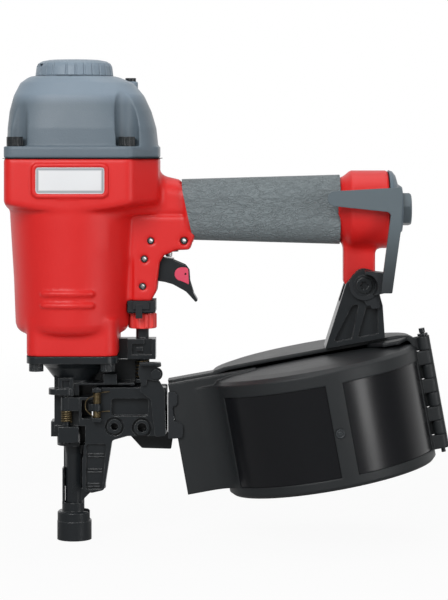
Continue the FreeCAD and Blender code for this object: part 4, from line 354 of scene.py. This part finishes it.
def make_housing():
    """Main housing as one cast skin."""
    low, high, step = (-50, -48, 128), (222, 48, 269), 1.3
    x, y, z = grid(low, high, step)
    field = carve(housing_field(x, y, z), housing_cuts(x, y, z), 0.5)
    verts, quads = skin(carve(field, grip_room(x, y, z), 0.3), low, step)
    return piece("housing_casting", verts, quads, "root", "red_paint", "main_housing")


# ==== cap =========================================================================================
# Outline of the dome by height share: share, left x, right x, half width in y, power
DOME = ((0.0, -46.2, 58.6, 41.8, 3.4), (0.26, -45.8, 57.2, 41.2, 3.3), (0.50, -44.6, 53.8, 38.6, 3.1),
        (0.72, -41.9, 48.8, 35.4, 2.9), (0.90, -37.6, 41.5, 31.0, 2.6), (1.0, -31.0, 30.0, 27.6, 2.3))
FLANGE_Z = (266.4, 274.5)
DOME_H = 48.9
BOLT_RECESS_R = 8.4
EXHAUST_HOLES_R = 10.6     # circle of the six exhaust holes in the crown


def dome_field(x, y, z):
    """Dome of superellipses: |x - c|^n / a^n + |y|^n / b^n = 1, with a, b, c, n read from DOME."""
    t = (z - FLANGE_Z[1]) / DOME_H
    share = [row[0] for row in DOME]
    x0, x1, half, power = [np.interp(t, share, [row[i] for row in DOME]) for i in (1, 2, 3, 4)]
    a, c = (x1 - x0) / 2, (x1 + x0) / 2
    oval = ((np.abs(x - c) / a) ** power + (np.abs(y) / half) ** power) ** (1 / power) - 1
    return meet(oval * half * 0.9, np.maximum(z - 323.4, 270 - z), 2.0)


def cap_field(x, y, z):
    """Dome on a flange, with a round recess for each bolt, a vent boss and a blind boss beside it."""
    p = (x, y, z)
    dome = dome_field(x, y, z)
    for bx, by in CAP_BOLTS:
        dome = carve(dome, upright(p, bx, by, FLANGE_Z[1], 330, BOLT_RECESS_R), 0.5)
    cap = join(dome, prism(head_plan(x, y), z, *FLANGE_Z, 0.8), 0.8)
    cap = join(cap, upright(p, 38.5, 20, 297, 320.5, 5.2, 0.5), 1.5)
    cap = join(cap, upright(p, 45.5, 14, 293, 310.9, 2.6, 0.5), 1.0)
    cuts = [upright(p, 0, 0, 260, 291, 32.3), upright(p, 0, 0, 285, 308, 11), upright(p, 0, 0, 300, 330, 2.5)]
    cuts += [upright(p, EXHAUST_HOLES_R * cos(a), EXHAUST_HOLES_R * sin(a), 304, 330, 3.4)
             for a in np.arange(6) * pi / 3]
    cuts += [upright(p, bx, by, 260, 280, BOLT_R) for bx, by in CAP_BOLTS]
    for cut in cuts:
        cap = carve(cap, cut, 0.2)
    return cap


def make_cap():
    """Cylinder cap as one cast skin."""
    low, high, step = (-49, -46, 264.5), (64, 46, 325.5), 0.95
    verts, quads = skin(cap_field(*grid(low, high, step)), low, step)
    return piece("cap_casting", verts, quads, "root", "slate_paint", "cylinder_cap")


# ==== wires and turned pieces =====================================================================
def ring_faces(rings, sides):
    """Faces of a closed tube of rings of points, with a flat face on each end."""
    faces = []
    for i in range(rings - 1):
        this, above = i * sides, (i + 1) * sides
        for j in range(sides):
            k = (j + 1) % sides
            faces.append((this + j, this + k, above + k, above + j))
    last = (rings - 1) * sides
    return faces + [tuple(range(sides))[::-1], tuple(range(last, last + sides))]


def tube_along(path, radius, sides=10):
    """Round wire along a path: circles of `sides` points in the plane across the path's direction."""
    path = np.asarray(path, float)
    way = np.gradient(path, axis=0)
    way /= np.linalg.norm(way, axis=1)[:, None]
    side = np.cross(way[0], (0.3, 0.2, 0.93))
    angles = np.arange(sides) * 2 * pi / sides
    rings = []
    for point, t in zip(path, way):
        side = side - t * (side @ t)
        side /= np.linalg.norm(side)
        up = np.cross(t, side)
        rings.append([point + radius * (side * cos(a) + up * sin(a)) for a in angles])
    return np.array(rings).reshape(-1, 3), ring_faces(len(path), sides)


def merged(*meshes):
    """Several (points, faces) pairs as one."""
    verts, faces, start = [], [], 0
    for v, f in meshes:
        verts.append(np.asarray(v, float))
        faces += [tuple(int(i) + start for i in face) for face in f]
        start += len(v)
    return np.concatenate(verts), faces


def helix(x, y, z0, z1, radius, turns, start=0.0):
    """Points of a helix about an upright axis: (r cos a, r sin a, z0 + (z1 - z0) a / 2 pi n)."""
    s = np.linspace(0, 1, int(turns * 22) + 1)
    a = start + 2 * pi * turns * s
    return np.stack([x + radius * np.cos(a), y + radius * np.sin(a), z0 + (z1 - z0) * s], 1)


def smooth_line(points, rounds=3):
    """Corner-cut line: each round replaces a corner by points a quarter of the way along its two sides."""
    pts = np.asarray(points, float)
    for _ in range(rounds):
        cut = np.empty((2 * (len(pts) - 1), 3))
        cut[0::2] = pts[:-1] * 0.75 + pts[1:] * 0.25
        cut[1::2] = pts[:-1] * 0.25 + pts[1:] * 0.75
        pts = np.concatenate([pts[:1], cut, pts[-1:]])
    return pts


def make_door_springs():
    """Double torsion spring of the check pawl with its bridge and legs, and the hinge's small spring."""
    x, y, r = 16.9, -20.5, 2.25
    low = helix(x, y, 87.6, 91.4, r, 4.25, pi)
    high = helix(x, y, 97.1, 104.5, r, 8.0, pi)
    bridge = [(x - r, y, 87.6), (12.0, -21.6, 90.0), (9.4, -21.6, 92.4), (8.8, -21.4, 95.5),
              (9.4, -21.4, 99.0), (12.0, -21.6, 101.4), (15.0, -22.4, 102.2)]
    legs = [[(x + 1.4, y - r, 91.2), (21.0, -19.6, 91.3), (25.6, -17.5, 91.3)],
            [(x + 1.4, y - r, 104.3), (21.0, -19.6, 104.6), (25.4, -17.5, 104.8)]]
    hinge = helix(-4.6, -13, 83.2, 90.9, 3.2, 5.0)
    meshes = [tube_along(low, 0.5), tube_along(high, 0.5), tube_along(hinge, 0.75)]
    meshes += [tube_along(smooth_line(line), 0.36) for line in [bridge] + legs]
    return piece("pawl_and_hinge_springs", *merged(*meshes), "nose_door_body", "spring_steel", "door_springs")


def make_coil(node, slot, low, high, radius, wire, pitch, joint, travel):
    """Compression spring of even pitch between its moving end and its fixed end.

    From its moving end to its fixed end the wire follows low + along t + r (e cos a + f sin a).
    """
    low, high = np.array(low, float), np.array(high, float)
    length = np.linalg.norm(high - low)
    along = (high - low) / length
    e = np.array((0.0, 1.0, 0.0))
    f = np.cross(along, e)
    turns = (length - 2 * wire) / pitch
    s = np.linspace(0, 1, int(turns * 22) + 1)[:, None]
    a = 2 * pi * turns * s
    path = low + along * (wire + (length - 2 * wire) * s) + radius * (e * np.cos(a) + f * np.sin(a))
    obj = paint(piece(node + "_coil", *tube_along(path, wire), "root", slot, node), slot)
    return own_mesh(obj)


# Node, finish, moving end, fixed end, coil radius, wire radius, pitch, joint that presses it, its travel
COILS = (
    ("head_valve_spring", "bright_steel", (0, 0, 280.35), (0, 0, 290.95), 20, 1, 3.2, "head_valve_slide", 5),
    ("trigger_valve_spring", "bright_steel", (STEM_X, 0, 216.15), (STEM_X, 0, 224.95), 3.3, 0.45, 1.9,
     "valve_stem_slide", 3.5),
    ("contact_spring", "spring_steel", (ROD_X, 0, 112.05), (ROD_X, 0, 126.35), 4.4, 0.6, 2.6,
     "contact_slide", 9),
    ("feed_spring", "bright_steel", (40.05, 18.6, 86), (59.45, 18.6, 86), 4.6, 0.6, 3, "feed_slide", 10),
)


def lathe(profile, origin, along, sides=40):
    """Surface of revolution: points (r, t) of a profile become origin + along t + r (e cos a + f sin a)."""
    along = np.asarray(along, float) / np.linalg.norm(along)
    e = np.cross(along, (0.0, 0.0, 1.0))
    e /= np.linalg.norm(e)
    f = np.cross(along, e)
    a = np.arange(sides) * 2 * pi / sides
    ring = e * np.cos(a)[:, None] + f * np.sin(a)[:, None]
    verts = np.concatenate([np.asarray(origin) + along * t + ring * r for r, t in profile])
    return verts, ring_faces(len(profile), sides)


MAG_R = 73.0               # outer radius of the magazine
MAG_TILT = 10.3            # degrees between the magazine's floor and the ground
RIVET_U = 8.0              # place of the rivet in the magazine's own axes
RIVET_V = 37.0


def magazine_place(u, w, v):
    """Millimetres from the magazine's own axes to the tool's."""
    t = radians(MAG_TILT)
    return np.array([181 + u * cos(t) - v * sin(t), w, 45 + u * sin(t) + v * cos(t)])


def make_rivet():
    """Rivet of the magazine's window post: a shank, a flat head and a ring with a domed middle."""
    face = -(MAG_R ** 2 - RIVET_U ** 2) ** 0.5
    profile = [(1.6, 3.4), (1.6, 0.0), (3.25, 0.2), (3.25, -0.5), (2.95, -0.9), (2.3, -0.95), (2.05, -0.45),
               (1.7, -0.4), (1.5, -0.8), (0.9, -0.95), (0.4, -0.7)]
    verts, faces = lathe(profile, magazine_place(RIVET_U, face, RIVET_V), (0, 1, 0))
    return piece("window_rivet_head", verts, faces, "magazine_door_body", "hook_steel", "window_rivet")


# ==== shader helpers ==============================================================================
def srgb(r, g, b):
    """Linear colour from 0-255 display values."""
    c = np.array([r, g, b]) / 255
    return tuple(np.where(c <= 0.04045, c / 12.92, ((c + 0.055) / 1.055) ** 2.4)) + (1.0,)


def group(name, inputs, outputs):
    """New shader node group with named sockets; an input is (kind, label, default or None)."""
    g = bpy.data.node_groups.new(name, "ShaderNodeTree")
    for kind, label, value in inputs:
        s = g.interface.new_socket(label, in_out="INPUT", socket_type=f"NodeSocket{kind}")
        if value is not None:
            s.default_value = value
    for kind, label in outputs:
        g.interface.new_socket(label, in_out="OUTPUT", socket_type=f"NodeSocket{kind}")
    return g, g.nodes.new("NodeGroupInput"), g.nodes.new("NodeGroupOutput")


def feed(t, socket, value):
    """Links a socket to another one, or sets it to a plain value."""
    if isinstance(value, bpy.types.NodeSocket):
        t.links.new(value, socket)
    else:
        socket.default_value = value


def math_node(t, op, a, b=None, clamp=False):
    """Result of a math node."""
    n = t.nodes.new("ShaderNodeMath")
    n.operation = op
    n.use_clamp = clamp
    feed(t, n.inputs[0], a)
    if b is not None:
        feed(t, n.inputs[1], b)
    return n.outputs[0]


def vector_node(t, op, a, b=None):
    """Result of a vector math node: a vector, or a number for a length or a dot product."""
    n = t.nodes.new("ShaderNodeVectorMath")
    n.operation = op
    feed(t, n.inputs[0], a)
    if b is not None:
        feed(t, n.inputs[1], b)
    return n.outputs["Value" if op in ("DOT_PRODUCT", "LENGTH") else "Vector"]


def coordinate(t, vector, axis):
    """One coordinate of a vector."""
    n = t.nodes.new("ShaderNodeSeparateXYZ")
    t.links.new(vector, n.inputs[0])
    return n.outputs[axis]


def map_range(t, value, ends, results, eased=False):
    """Value carried from one pair of ends to another, in a straight line or eased at both ends."""
    n = t.nodes.new("ShaderNodeMapRange")
    if eased:
        n.interpolation_type = "SMOOTHSTEP"
    for label, number in zip(("From Min", "From Max", "To Min", "To Max"), ends + results):
        n.inputs[label].default_value = number
    t.links.new(value, n.inputs["Value"])
    return n.outputs["Result"]


def noise(t, vector, scale, detail=3.0, rough=0.6, distortion=0.0):
    """Noise texture's value."""
    n = t.nodes.new("ShaderNodeTexNoise")
    feed(t, n.inputs["Vector"], vector)
    feed(t, n.inputs["Scale"], scale)
    n.inputs["Detail"].default_value = detail
    n.inputs["Roughness"].default_value = rough
    n.inputs["Distortion"].default_value = distortion
    return n.outputs["Fac"]


def mixed(t, a, b, share):
    """Colour that goes from a to b with the share."""
    n = t.nodes.new("ShaderNodeMix")
    n.data_type = "RGBA"
    feed(t, n.inputs["A"], a)
    feed(t, n.inputs["B"], b)
    t.links.new(share, n.inputs["Factor"])
    return n.outputs["Result"]


def use(t, g, coord, **values):
    """Outputs of a node group placed in a tree, with its coordinates and plain inputs."""
    n = t.nodes.new("ShaderNodeGroup")
    n.node_tree = g
    t.links.new(coord, n.inputs["Vector"])
    for label, value in values.items():
        n.inputs[label].default_value = value
    return n.outputs


# ==== shared effects ==============================================================================
def grain_group():
    """Fine grain: a tone, a height and a broad blotch, from two sizes of noise."""
    g, gin, gout = group("Grain", [("Vector", "Vector", None), ("Float", "Scale", 900.0)],
                         [("Float", "Tone"), ("Float", "Height"), ("Float", "Blotch")])
    fine = noise(g, gin.outputs["Vector"], gin.outputs["Scale"], 4.0, 0.7)
    broad = noise(g, gin.outputs["Vector"], 38.0, 3.0, 0.5)
    tone = math_node(g, "ADD", math_node(g, "MULTIPLY", fine, 0.65), math_node(g, "MULTIPLY", broad, 0.35))
    g.links.new(fine, gout.inputs["Height"])
    g.links.new(tone, gout.inputs["Tone"])
    g.links.new(broad, gout.inputs["Blotch"])
    return g


def edge_group():
    """Rounded normals near edges, and a mask of the edges broken up by noise."""
    g, gin, gout = group("Edges", [("Vector", "Vector", None), ("Float", "Radius", 0.0006)],
                         [("Float", "Wear_and_glint"), ("Vector", "Normal")])
    bevel = g.nodes.new("ShaderNodeBevel")
    bevel.samples = 6
    g.links.new(gin.outputs["Radius"], bevel.inputs["Radius"])
    normal = g.nodes.new("ShaderNodeNewGeometry").outputs["Normal"]
    match = vector_node(g, "DOT_PRODUCT", bevel.outputs[0], normal)
    bend = math_node(g, "MULTIPLY", math_node(g, "SUBTRACT", 1.0, match), 6.0, True)
    broken = noise(g, gin.outputs["Vector"], 260.0, 5.0, 0.7)
    spots = math_node(g, "MULTIPLY", math_node(g, "SUBTRACT", broken, 0.42), 5.0, True)
    # This mask marks the edges that the finish lightens, as bare wear and as painted glints.
    g.links.new(math_node(g, "MULTIPLY", bend, spots), gout.inputs["Wear_and_glint"])
    g.links.new(bevel.outputs[0], gout.inputs["Normal"])
    return g


def wrinkle_group():
    """Leathery wrinkles: winding folds where a bent noise crosses its middle value."""
    g, gin, gout = group("Wrinkles", [("Vector", "Vector", None), ("Float", "Scale", 330.0)],
                         [("Float", "Height"), ("Float", "Tone")])
    long_way = vector_node(g, "MULTIPLY", gin.outputs["Vector"], (0.55, 1.0, 1.0))
    bent = noise(g, long_way, gin.outputs["Scale"], 2.0, 0.5, 1.6)
    ridge = math_node(g, "ABSOLUTE", math_node(g, "SUBTRACT", bent, 0.5))
    fold = math_node(g, "POWER", math_node(g, "MULTIPLY", ridge, 6.0, True), 0.7)
    fine = noise(g, gin.outputs["Vector"], 1700.0, 3.0, 0.7)
    height = math_node(g, "ADD", math_node(g, "MULTIPLY", fold, 0.75), math_node(g, "MULTIPLY", fine, 0.25))
    g.links.new(height, gout.inputs["Height"])
    # The tone is the height, so the grooves of the folds are painted darker than the surface between them:
    # painted shade in the creases.
    g.links.new(height, gout.inputs["Tone"])
    return g


def border_group():
    """Mask of a band along the edge of an upright rectangle given by its centre and half sizes."""
    g, gin, gout = group("Border", [("Vector", "Vector", None), ("Vector", "Centre", None),
                                    ("Vector", "Half", None), ("Float", "Width", 0.001)], [("Float", "Mask")])
    off = vector_node(g, "SUBTRACT", gin.outputs["Vector"], gin.outputs["Centre"])
    room = vector_node(g, "SUBTRACT", gin.outputs["Half"], vector_node(g, "ABSOLUTE", off))
    near = math_node(g, "MINIMUM", coordinate(g, room, "X"), coordinate(g, room, "Z"))
    share = math_node(g, "DIVIDE", near, gin.outputs["Width"])
    away = math_node(g, "ABSOLUTE", math_node(g, "SUBTRACT", share, 1.0))
    g.links.new(math_node(g, "SUBTRACT", 1.0, away, True), gout.inputs["Mask"])
    return g


GRAIN, EDGES, WRINKLES, BORDER = grain_group(), edge_group(), wrinkle_group(), border_group()
BORDER_WIDTH = 0.0014


# ==== materials ===================================================================================
def nameplate_border(t, coord):
    """Mask of the band along the edge of the nameplate."""
    low, high = np.array(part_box("nameplate"))
    centre, half = tuple((low + high) / 2), tuple((high - low) / 2)
    return use(t, BORDER, coord, Centre=centre, Half=half, Width=BORDER_WIDTH)["Mask"]


def finish(name, color, rough=0.5, spread=0.12, metal=0.0, spec=0.5, grain=900.0, height=0.00004, tone=0.08,
           edge_wear_and_glint=None, edge_wear_and_glint_amount=0.0, bevel=0.0006, wrinkle=None, border=None, fade=None):
    """Material of one finish: colour varied by grain, roughness by blotches, rounded edges with wear and
    painted glints.

    edge_wear_and_glint is the colour of edges bare from wear and of glints painted on them, wrinkle the
    scale of leathery folds with painted shade in their grooves, border the colour of the nameplate's band,
    and fade (colour, low z, high z) another colour that takes over below, on the hook as painted shade.
    """
    m = bpy.data.materials.new(name)
    m.use_nodes = True
    t = m.node_tree
    out = t.nodes["Principled BSDF"]
    coord = t.nodes.new("ShaderNodeTexCoord").outputs["Object"]
    fine = use(t, GRAIN, coord, Scale=grain)
    edges = use(t, EDGES, coord, Radius=bevel)
    relief = use(t, WRINKLES, coord, Scale=wrinkle) if wrinkle else fine
    dark = tuple(c * (1 - tone) for c in color[:3]) + (1,)
    light = tuple(min(1, c * (1 + tone)) for c in color[:3]) + (1,)
    # With wrinkles the tone is painted shade in the grooves of the folds; otherwise it is the random tone of
    # the grain.
    base = mixed(t, dark, light, relief["Tone"])
    # Edges lightened by the edge colour: partly bare worn metal, partly painted glints.
    if edge_wear_and_glint:
        base = mixed(t, base, edge_wear_and_glint, math_node(t, "MULTIPLY", edges["Wear_and_glint"], edge_wear_and_glint_amount))
    if border:
        base = mixed(t, base, border, nameplate_border(t, coord))
    # Below z_high the colour goes over to the lower colour, wholly at z_low; on the hook this is painted
    # shade down its leg.
    if fade:
        lower, z_low, z_high = fade
        below = map_range(t, coordinate(t, coord, "Z"), (z_high, z_low), (0.0, 1.0), eased=True)
        base = mixed(t, base, lower, below)
    t.links.new(base, out.inputs["Base Color"])
    limits = (max(rough - spread, 0.03), min(rough + spread, 1.0))
    t.links.new(map_range(t, fine["Blotch"], (0.0, 1.0), limits), out.inputs["Roughness"])
    bump = t.nodes.new("ShaderNodeBump")
    bump.inputs["Distance"].default_value = height
    bump.inputs["Strength"].default_value = 1.0
    t.links.new(relief["Height"], bump.inputs["Height"])
    t.links.new(edges["Normal"], bump.inputs["Normal"])
    t.links.new(bump.outputs["Normal"], out.inputs["Normal"])
    out.inputs["Metallic"].default_value = metal
    out.inputs["Specular IOR Level"].default_value = spec
    return m


MATERIALS = {
    "red_paint": finish("Red enamel", srgb(212, 26, 24), 0.42, 0.06, grain=1000, height=0.00011, tone=0.06),
    "slate_paint": finish("Slate enamel", srgb(124, 139, 152), 0.42, 0.06, spec=0.45, grain=1000,
                          height=0.00018, tone=0.1, fade=(srgb(96, 109, 119), 0.302, 0.312)),
    "grip_rubber": finish("Grip rubber", srgb(113, 122, 125), 0.55, 0.06, spec=0.4, tone=0.06, height=0.0006,
                          wrinkle=330, bevel=0.0004),
    # Black metal: its light edges stand for bare worn metal and for painted glints along the edges.
    "black_metal": finish("Black casting", srgb(29, 33, 36), 0.3, 0.08, spec=0.55, grain=1300, height=0.00006,
                          tone=0.15, edge_wear_and_glint=srgb(150, 152, 152), edge_wear_and_glint_amount=0.4),
    "magazine_black": finish("Magazine shell", srgb(34, 37, 39), 0.46, 0.06, spec=0.45, grain=1500,
                             height=0.00009, tone=0.1, bevel=0.0017),
    "window_plastic": finish("Smoked window", srgb(17, 18, 21), 0.25, 0.03, spec=0.42, grain=300,
                             height=0.00001, tone=0.1),
    # Hook steel darkens below z 0.232 to a dark grey at z 0.172: painted shade down the hook's leg. Lower
    # pieces of this finish, such as the magazine's rivet, are wholly in that dark grey.
    "hook_steel": finish("Hook steel", srgb(92, 103, 109), 0.42, 0.08, spec=0.4, grain=1500, height=0.00003,
                         tone=0.06, bevel=0.0009, fade=(srgb(46, 50, 53), 0.172, 0.232)),
    "bright_steel": finish("Bright steel", srgb(214, 215, 216), 0.32, 0.08, metal=0.7, grain=2200,
                           height=0.00002, tone=0.08, bevel=0.0003),
    "spring_steel": finish("Spring wire", srgb(112, 99, 74), 0.42, 0.08, metal=0.9, grain=2200,
                           height=0.00002, tone=0.12, bevel=0.0001),
    "silver_plate": finish("Silver plate", srgb(236, 238, 240), 0.36, 0.06, metal=0.35, grain=2600,
                           height=0.00001, tone=0.04, bevel=0.0002, border=srgb(150, 156, 162)),
    "red_plastic": finish("Red knob", srgb(232, 66, 62), 0.35, 0.06, spec=0.45, height=0.00003, tone=0.05),
    "rose_insert": finish("Rose insert", srgb(214, 72, 98), 0.4, 0.06, spec=0.4, height=0.00003, tone=0.04),
    "black_plastic": finish("Black plastic", srgb(37, 40, 43), 0.48, 0.06, spec=0.3, grain=1600, tone=0.1),
    "seal_rubber": finish("Seal rubber", srgb(24, 24, 25), 0.7, 0.06, spec=0.3, grain=1600, tone=0.1),
    "bright_alloy": finish("Turned alloy", srgb(190, 192, 195), 0.32, 0.1, metal=1.0, grain=1800,
                           height=0.00002, tone=0.06),
}


def paint(obj, slot):
    """Gives an object the finish of its slot."""
    obj.data.materials.clear()
    obj.data.materials.append(MATERIALS[slot])
    return obj


slot_of = {s["node"]: s["material_slot"] for s in frame["record"]["subparts"]}
for name, obj in frame["nodes"].items():
    paint(obj, slot_of[name])
paint(make_housing(), "red_paint")
paint(make_cap(), "slate_paint")
paint(make_door_springs(), "spring_steel")
paint(make_rivet(), "hook_steel")
for coil in COILS:
    make_coil(*coil)


# ==== stage =======================================================================================
TARGET = (0.1, 0, 0.18)    # where the lamps point
SENSOR = 36
VIEW_DISTANCE = 1.5        # from the camera to the driver's axis
VIEW_HEIGHT = 0.42         # what the picture's height spans at that distance
FLOOR_HALF = 6.0
FLOOR_Z = -0.0005
SOFT_SKY = 0.36            # strength of the sky for rays that aren't seen or mirrored
DIM_SKY = 0.12             # strength of the sky on the camera's side, as mirror rays see it
DIM_FLOOR = 0.22           # the same for the floor


def seen(t, path):
    """1 for rays that meet a thing straight from the camera, or through glass."""
    return math_node(t, "MAXIMUM", path.outputs["Is Camera Ray"], path.outputs["Is Transmission Ray"])


def world_light():
    """Sky that is white in the picture, soft as a light, and dim on the camera's side for mirror rays."""
    world = bpy.data.worlds.new("Studio")
    bpy.context.scene.world = world
    world.use_nodes = True
    t = world.node_tree
    t.nodes.clear()
    out = t.nodes.new("ShaderNodeOutputWorld")
    path = t.nodes.new("ShaderNodeLightPath")
    glossy = path.outputs["Is Glossy Ray"]
    direction = t.nodes.new("ShaderNodeTexCoord").outputs["Generated"]
    mirror = map_range(t, coordinate(t, direction, "Y"), (0.1, 0.8), (DIM_SKY, 1.0))
    direct = seen(t, path)
    bright = math_node(t, "MAXIMUM", direct, math_node(t, "MULTIPLY", glossy, mirror))
    other = math_node(t, "SUBTRACT", 1.0, math_node(t, "MAXIMUM", direct, glossy))
    soft = math_node(t, "MULTIPLY", other, SOFT_SKY)
    sky = t.nodes.new("ShaderNodeBackground")
    sky.inputs["Color"].default_value = (1, 1, 1, 1)
    t.links.new(math_node(t, "MAXIMUM", bright, soft), sky.inputs["Strength"])
    t.links.new(sky.outputs[0], out.inputs[0])


def lamp(name, place, wide, high, power):
    """Rectangular lamp that points at the object."""
    data = bpy.data.lights.new(name, "AREA")
    data.shape = "RECTANGLE"
    data.size = wide
    data.size_y = high
    data.energy = power
    obj = bpy.data.objects.new(name, data)
    bpy.context.scene.collection.objects.link(obj)
    obj.location = place
    obj.rotation_euler = (Vector(TARGET) - Vector(place)).to_track_quat("-Z", "Y").to_euler()


def floor_material():
    """Pale matte floor that keeps the shadow near the object and glows white farther off."""
    m = bpy.data.materials.new("Floor")
    m.use_nodes = True
    t = m.node_tree
    t.nodes.clear()
    out = t.nodes.new("ShaderNodeOutputMaterial")
    path = t.nodes.new("ShaderNodeLightPath")
    matte = t.nodes.new("ShaderNodeBsdfDiffuse")
    matte.inputs["Color"].default_value = (0.62, 0.62, 0.62, 1)
    glow = t.nodes.new("ShaderNodeEmission")
    mix = t.nodes.new("ShaderNodeMixShader")
    coord = t.nodes.new("ShaderNodeTexCoord").outputs["Object"]
    direct = seen(t, path)
    white = map_range(t, vector_node(t, "LENGTH", coord), (0.3, 1.4), (0.94, 1.0))
    share = math_node(t, "MULTIPLY", direct, white)
    mirror = map_range(t, coordinate(t, coord, "Y"), (0.0, 0.5), (DIM_FLOOR, 1.0))
    t.links.new(math_node(t, "MAXIMUM", share, path.outputs["Is Glossy Ray"]), mix.inputs[0])
    t.links.new(math_node(t, "MAXIMUM", direct, mirror), glow.inputs["Strength"])
    t.links.new(matte.outputs[0], mix.inputs[1])
    t.links.new(glow.outputs[0], mix.inputs[2])
    t.links.new(mix.outputs[0], out.inputs[0])
    return m


def floor():
    """Floor just under the contact foot."""
    s, z = FLOOR_HALF, FLOOR_Z
    mesh = bpy.data.meshes.new("floor")
    mesh.from_pydata([(-s, -s, z), (s, -s, z), (s, s, z), (-s, s, z)], [], [(0, 1, 2, 3)])
    mesh.materials.append(floor_material())
    obj = bpy.data.objects.new("floor", mesh)
    bpy.context.scene.collection.objects.link(obj)


def camera():
    """Level camera on the near side, shifted so that its axis isn't the picture's middle."""
    data = bpy.data.cameras.new("camera")
    data.sensor_fit = "AUTO"
    data.sensor_width = SENSOR
    data.lens = SENSOR * VIEW_DISTANCE / VIEW_HEIGHT
    data.shift_x = -0.0008
    data.shift_y = -0.2501
    data.clip_start = 0.05
    data.clip_end = 50
    obj = bpy.data.objects.new("camera", data)
    bpy.context.scene.collection.objects.link(obj)
    obj.location = (0.105, -VIEW_DISTANCE, 0.272)
    obj.rotation_euler = (pi / 2, 0, 0)
    bpy.context.scene.camera = obj


world_light()
floor()
camera()
lamp("key", (-0.45, -1.4, 1.0), 0.8, 0.8, 17.5)
lamp("fill", (1.15, -0.95, 0.42), 0.3, 0.84, 5)
lamp("top", (0.15, 0.1, 1.5), 1.0, 1.0, 5.5)

view = bpy.context.scene.view_settings
view.view_transform = "Standard"
